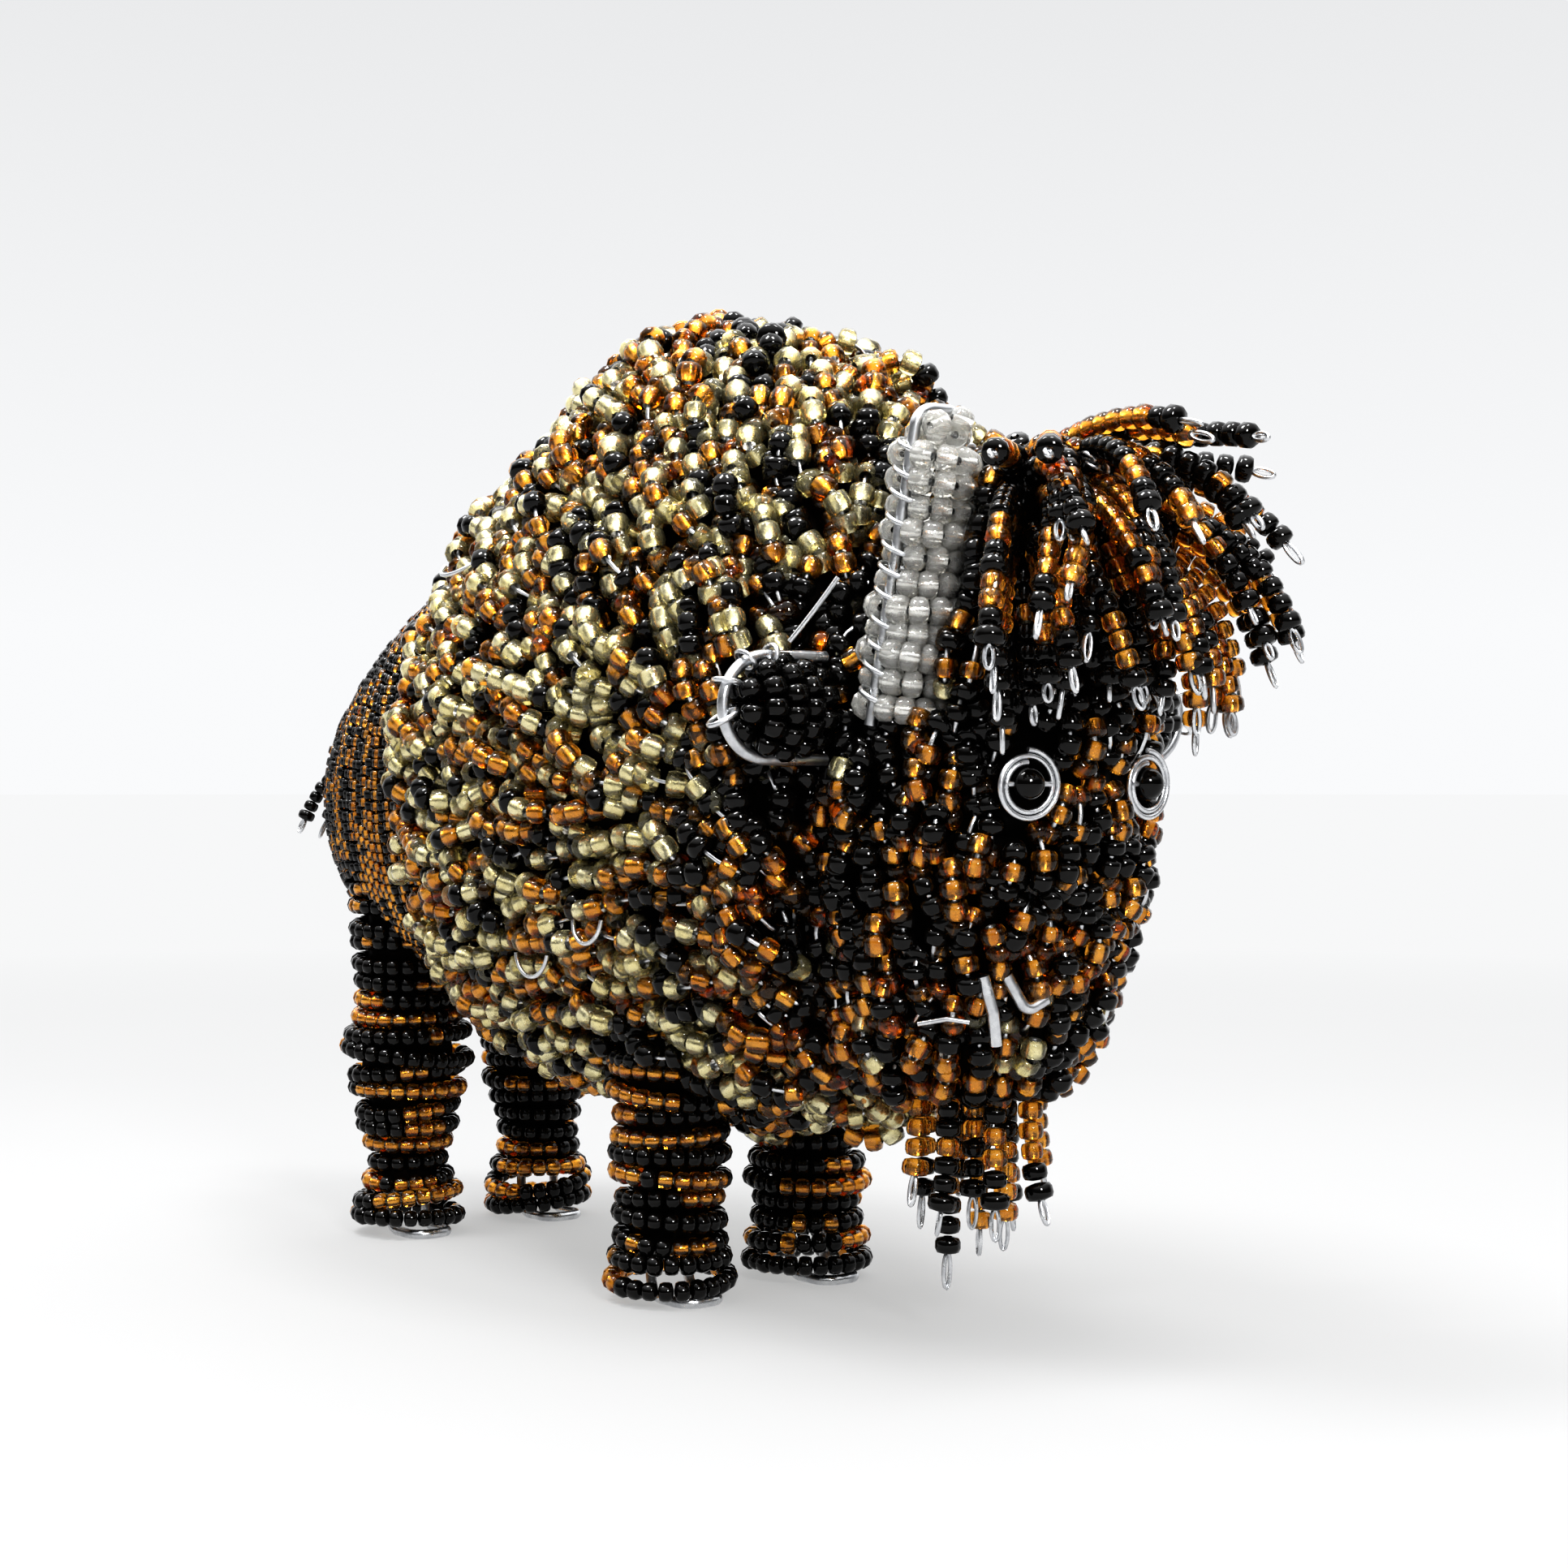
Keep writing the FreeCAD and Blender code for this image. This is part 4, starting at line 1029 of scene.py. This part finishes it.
beard = []
for radius, count, length in BEARD_RINGS:
    for i in range(count):
        angle = 2 * math.pi * (i + 0.5) / count
        x, y = radius * math.cos(angle), BEARD_MIDDLE + radius * math.sin(angle)
        low = CHIN - length * (1 + draw.normal(0.0, 0.13))
        tip = (x * 1.12, y + draw.normal(0.0, 0.5), low)
        points = [(x, y, BEARD_ROOT), (x * 1.02, y, (CHIN + low) / 2), tip]
        beard.append(bow(*in_head(points)))
hang("beard_strands", beard, 1.25 * MM, 1.8 * MM, np.array([0.0, 0.62, 0.38]), 2.2, 2.8 * MM)

tail = [
    bow(*in_body([(x, 46.6, 61.4), (x * 1.1 - 1.5, 54.8, 58.7), (x * 1.2 - 4.0, 58.5, 52.0)]))
    for x in (-2.9, 0.0, 2.9)
]
hang("tail_strands", tail, 0.95 * MM, 1.35 * MM, np.array([0.0, 0.3, 0.7]), 3.0, 2.6 * MM)

crown, every_crown = face_stitches(CROWN_ROWS)
crown.into("face_fur", every_crown, "crown_wires", FACE_WIRE * MM)

strings.make()

# ---------------------------------------------------------------- finishes of the CAD pieces that stay

FINISH_OF = {
    "heavy": (
        "_leg_frame", "_horn_frame", "_ear_frame", "_hoops",
        "spine_wire", "belly_wire", "nose_hook", "nose_prong",
    ),
    "thin": ("_eye_wire", "mouth_wire", "loose_wire_ends"),
    "black": ("_eye_bead",),
}
WIRES = {"heavy": HEAVY_WIRE, "thin": THIN_WIRE, "black": BLACK}
for name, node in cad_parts.items():
    for kind, ends in FINISH_OF.items():
        if name.endswith(ends):
            node.data.materials.clear()
            node.data.materials.append(WIRES[kind])

# ---------------------------------------------------------------- floor, lights and camera


def glowing_paper(name):
    """Matt white paper with a faint cloudiness. It glows everywhere, which is painted light: a fill
    that lifts the paper and its shadows near the figure, and more towards its far edge so that it runs
    on into the backdrop."""
    f = Finish(name)
    cloud = f.noise(6.0, 3.0)
    out = f.node("ShaderNodeVectorMath", {"operation": "LENGTH"}, {0: f.place()}, out="Value")
    far = f.spread(out, 0.14, 0.6)
    paper = f.blend(cloud, (0.205, 0.205, 0.206), (0.19, 0.19, 0.192))
    return f.done(
        Base_Color=f.blend(far, paper, (0.0, 0.0, 0.0)),
        Roughness=0.8,
        Specular_IOR_Level=0.0,
        # Painted light: the paper's own glow, 0.338 near the figure to lift its shadows, rising to
        # 0.656 between 0.14 m and 0.6 m to match the backdrop.
        Emission_Color=f.blend(far, (0.338, 0.338, 0.336), (0.656, 0.658, 0.661)),
        Emission_Strength=1.0,
    )


# Rings of the floor, and how many corners each has.
FLOOR_REACH = np.array([0.0005, 0.05, 0.15, 0.4, 1.0, 2.5, 6.0, 14.0])[:, None]
FLOOR_SIDES, FLOOR_DROP = 64, -0.00005
turn = np.linspace(0.0, 2 * np.pi, FLOOR_SIDES + 1)[:-1]
x, y = FLOOR_REACH * np.cos(turn), FLOOR_REACH * np.sin(turn)
bands, corner = np.arange(len(FLOOR_REACH) - 1)[:, None], np.arange(FLOOR_SIDES)[None, :]
inner, outer, beside = bands * FLOOR_SIDES, (bands + 1) * FLOOR_SIDES, (corner + 1) % FLOOR_SIDES
quads = np.stack([inner + corner, outer + corner, outer + beside, inner + beside], axis=-1)
floor = lay_mesh(
    "floor",
    np.stack([x, y, np.full_like(x, FLOOR_DROP)], axis=-1).reshape(-1, 3),
    np.concatenate([quads.ravel(), np.arange(FLOOR_SIDES)]),
    np.array([4] * (quads.size // 4) + [FLOOR_SIDES]),
    [glowing_paper("glowing_floor")],
)

CAMERA_FROM_FEET = np.array([-181.0, -251.0, 57.0])
CAMERA_AZIMUTH = math.radians(-40.0)
view_way = Vector((-math.sin(CAMERA_AZIMUTH), math.cos(CAMERA_AZIMUTH), 0.0))
to_right = Vector((view_way.y, -view_way.x, 0.0))
lens = bpy.data.cameras.new("camera")
lens.sensor_width = 36.0
lens.lens = 58.12
lens.clip_start = 0.01
camera = bpy.data.objects.new("camera", lens)
camera.location = in_body(CAMERA_FROM_FEET)
camera.rotation_euler = view_way.to_track_quat("-Z", "Y").to_euler()
bpy.context.scene.collection.objects.link(camera)
bpy.context.scene.camera = camera


def softbox(name, place, target, width, height, watts):
    """A soft rectangular lamp aimed at a point."""
    lamp = bpy.data.lights.new(name, "AREA")
    lamp.shape, lamp.size, lamp.size_y, lamp.energy = "RECTANGLE", width, height, watts
    held = bpy.data.objects.new(name, lamp)
    held.location = place
    held.rotation_euler = (Vector(target) - Vector(place)).to_track_quat("-Z", "Y").to_euler()
    bpy.context.scene.collection.objects.link(held)


middle = Vector((0.0, 0.0, 0.06))
for name, across, back, up, width, depth, watts in (
    ("softbox_left", -0.16, -0.06, 0.42, 0.12, 0.16, 1.15),
    ("softbox_right", 0.10, -0.12, 0.44, 0.10, 0.12, 0.75),
    ("softbox_front", 0.16, -0.46, 0.20, 0.10, 0.10, 1.05),
):
    place = middle + to_right * across + view_way * back + Vector((0, 0, up))
    softbox(name, place, middle, width, depth, watts)

world = bpy.data.worlds.new("studio")
world.use_nodes = True
world.node_tree.nodes.clear()
sky = Finish("studio", world.node_tree)
ray = sky.node("ShaderNodeTexCoord", out="Generated")
upward = sky.node("ShaderNodeSeparateXYZ", None, {0: ray}, out="Z")
facing = sky.node(
    "ShaderNodeVectorMath", {"operation": "DOT_PRODUCT"}, {0: ray, 1: tuple(view_way)}, out="Value"
)
far_side = sky.spread(facing, 0.1, 0.8)
overhead = sky.spread(upward, 0.35, 0.95)
glow = 0.09 + 0.7 * far_side + 1.6 * overhead
seen = sky.node("ShaderNodeLightPath", out="Is Camera Ray")
backdrop = 0.68 - 0.095 * sky.spread(upward, 0.06, 0.34)
strength = glow * (1.0 - seen) + backdrop * seen
studio = sky.node("ShaderNodeBackground", None, {"Color": (0.985, 0.99, 1.0), "Strength": strength})
sky.node("ShaderNodeOutputWorld", None, {"Surface": studio})
bpy.context.scene.world = world
bpy.context.scene.view_settings.view_transform = "Standard"
bpy.context.scene.view_settings.look = "High Contrast"
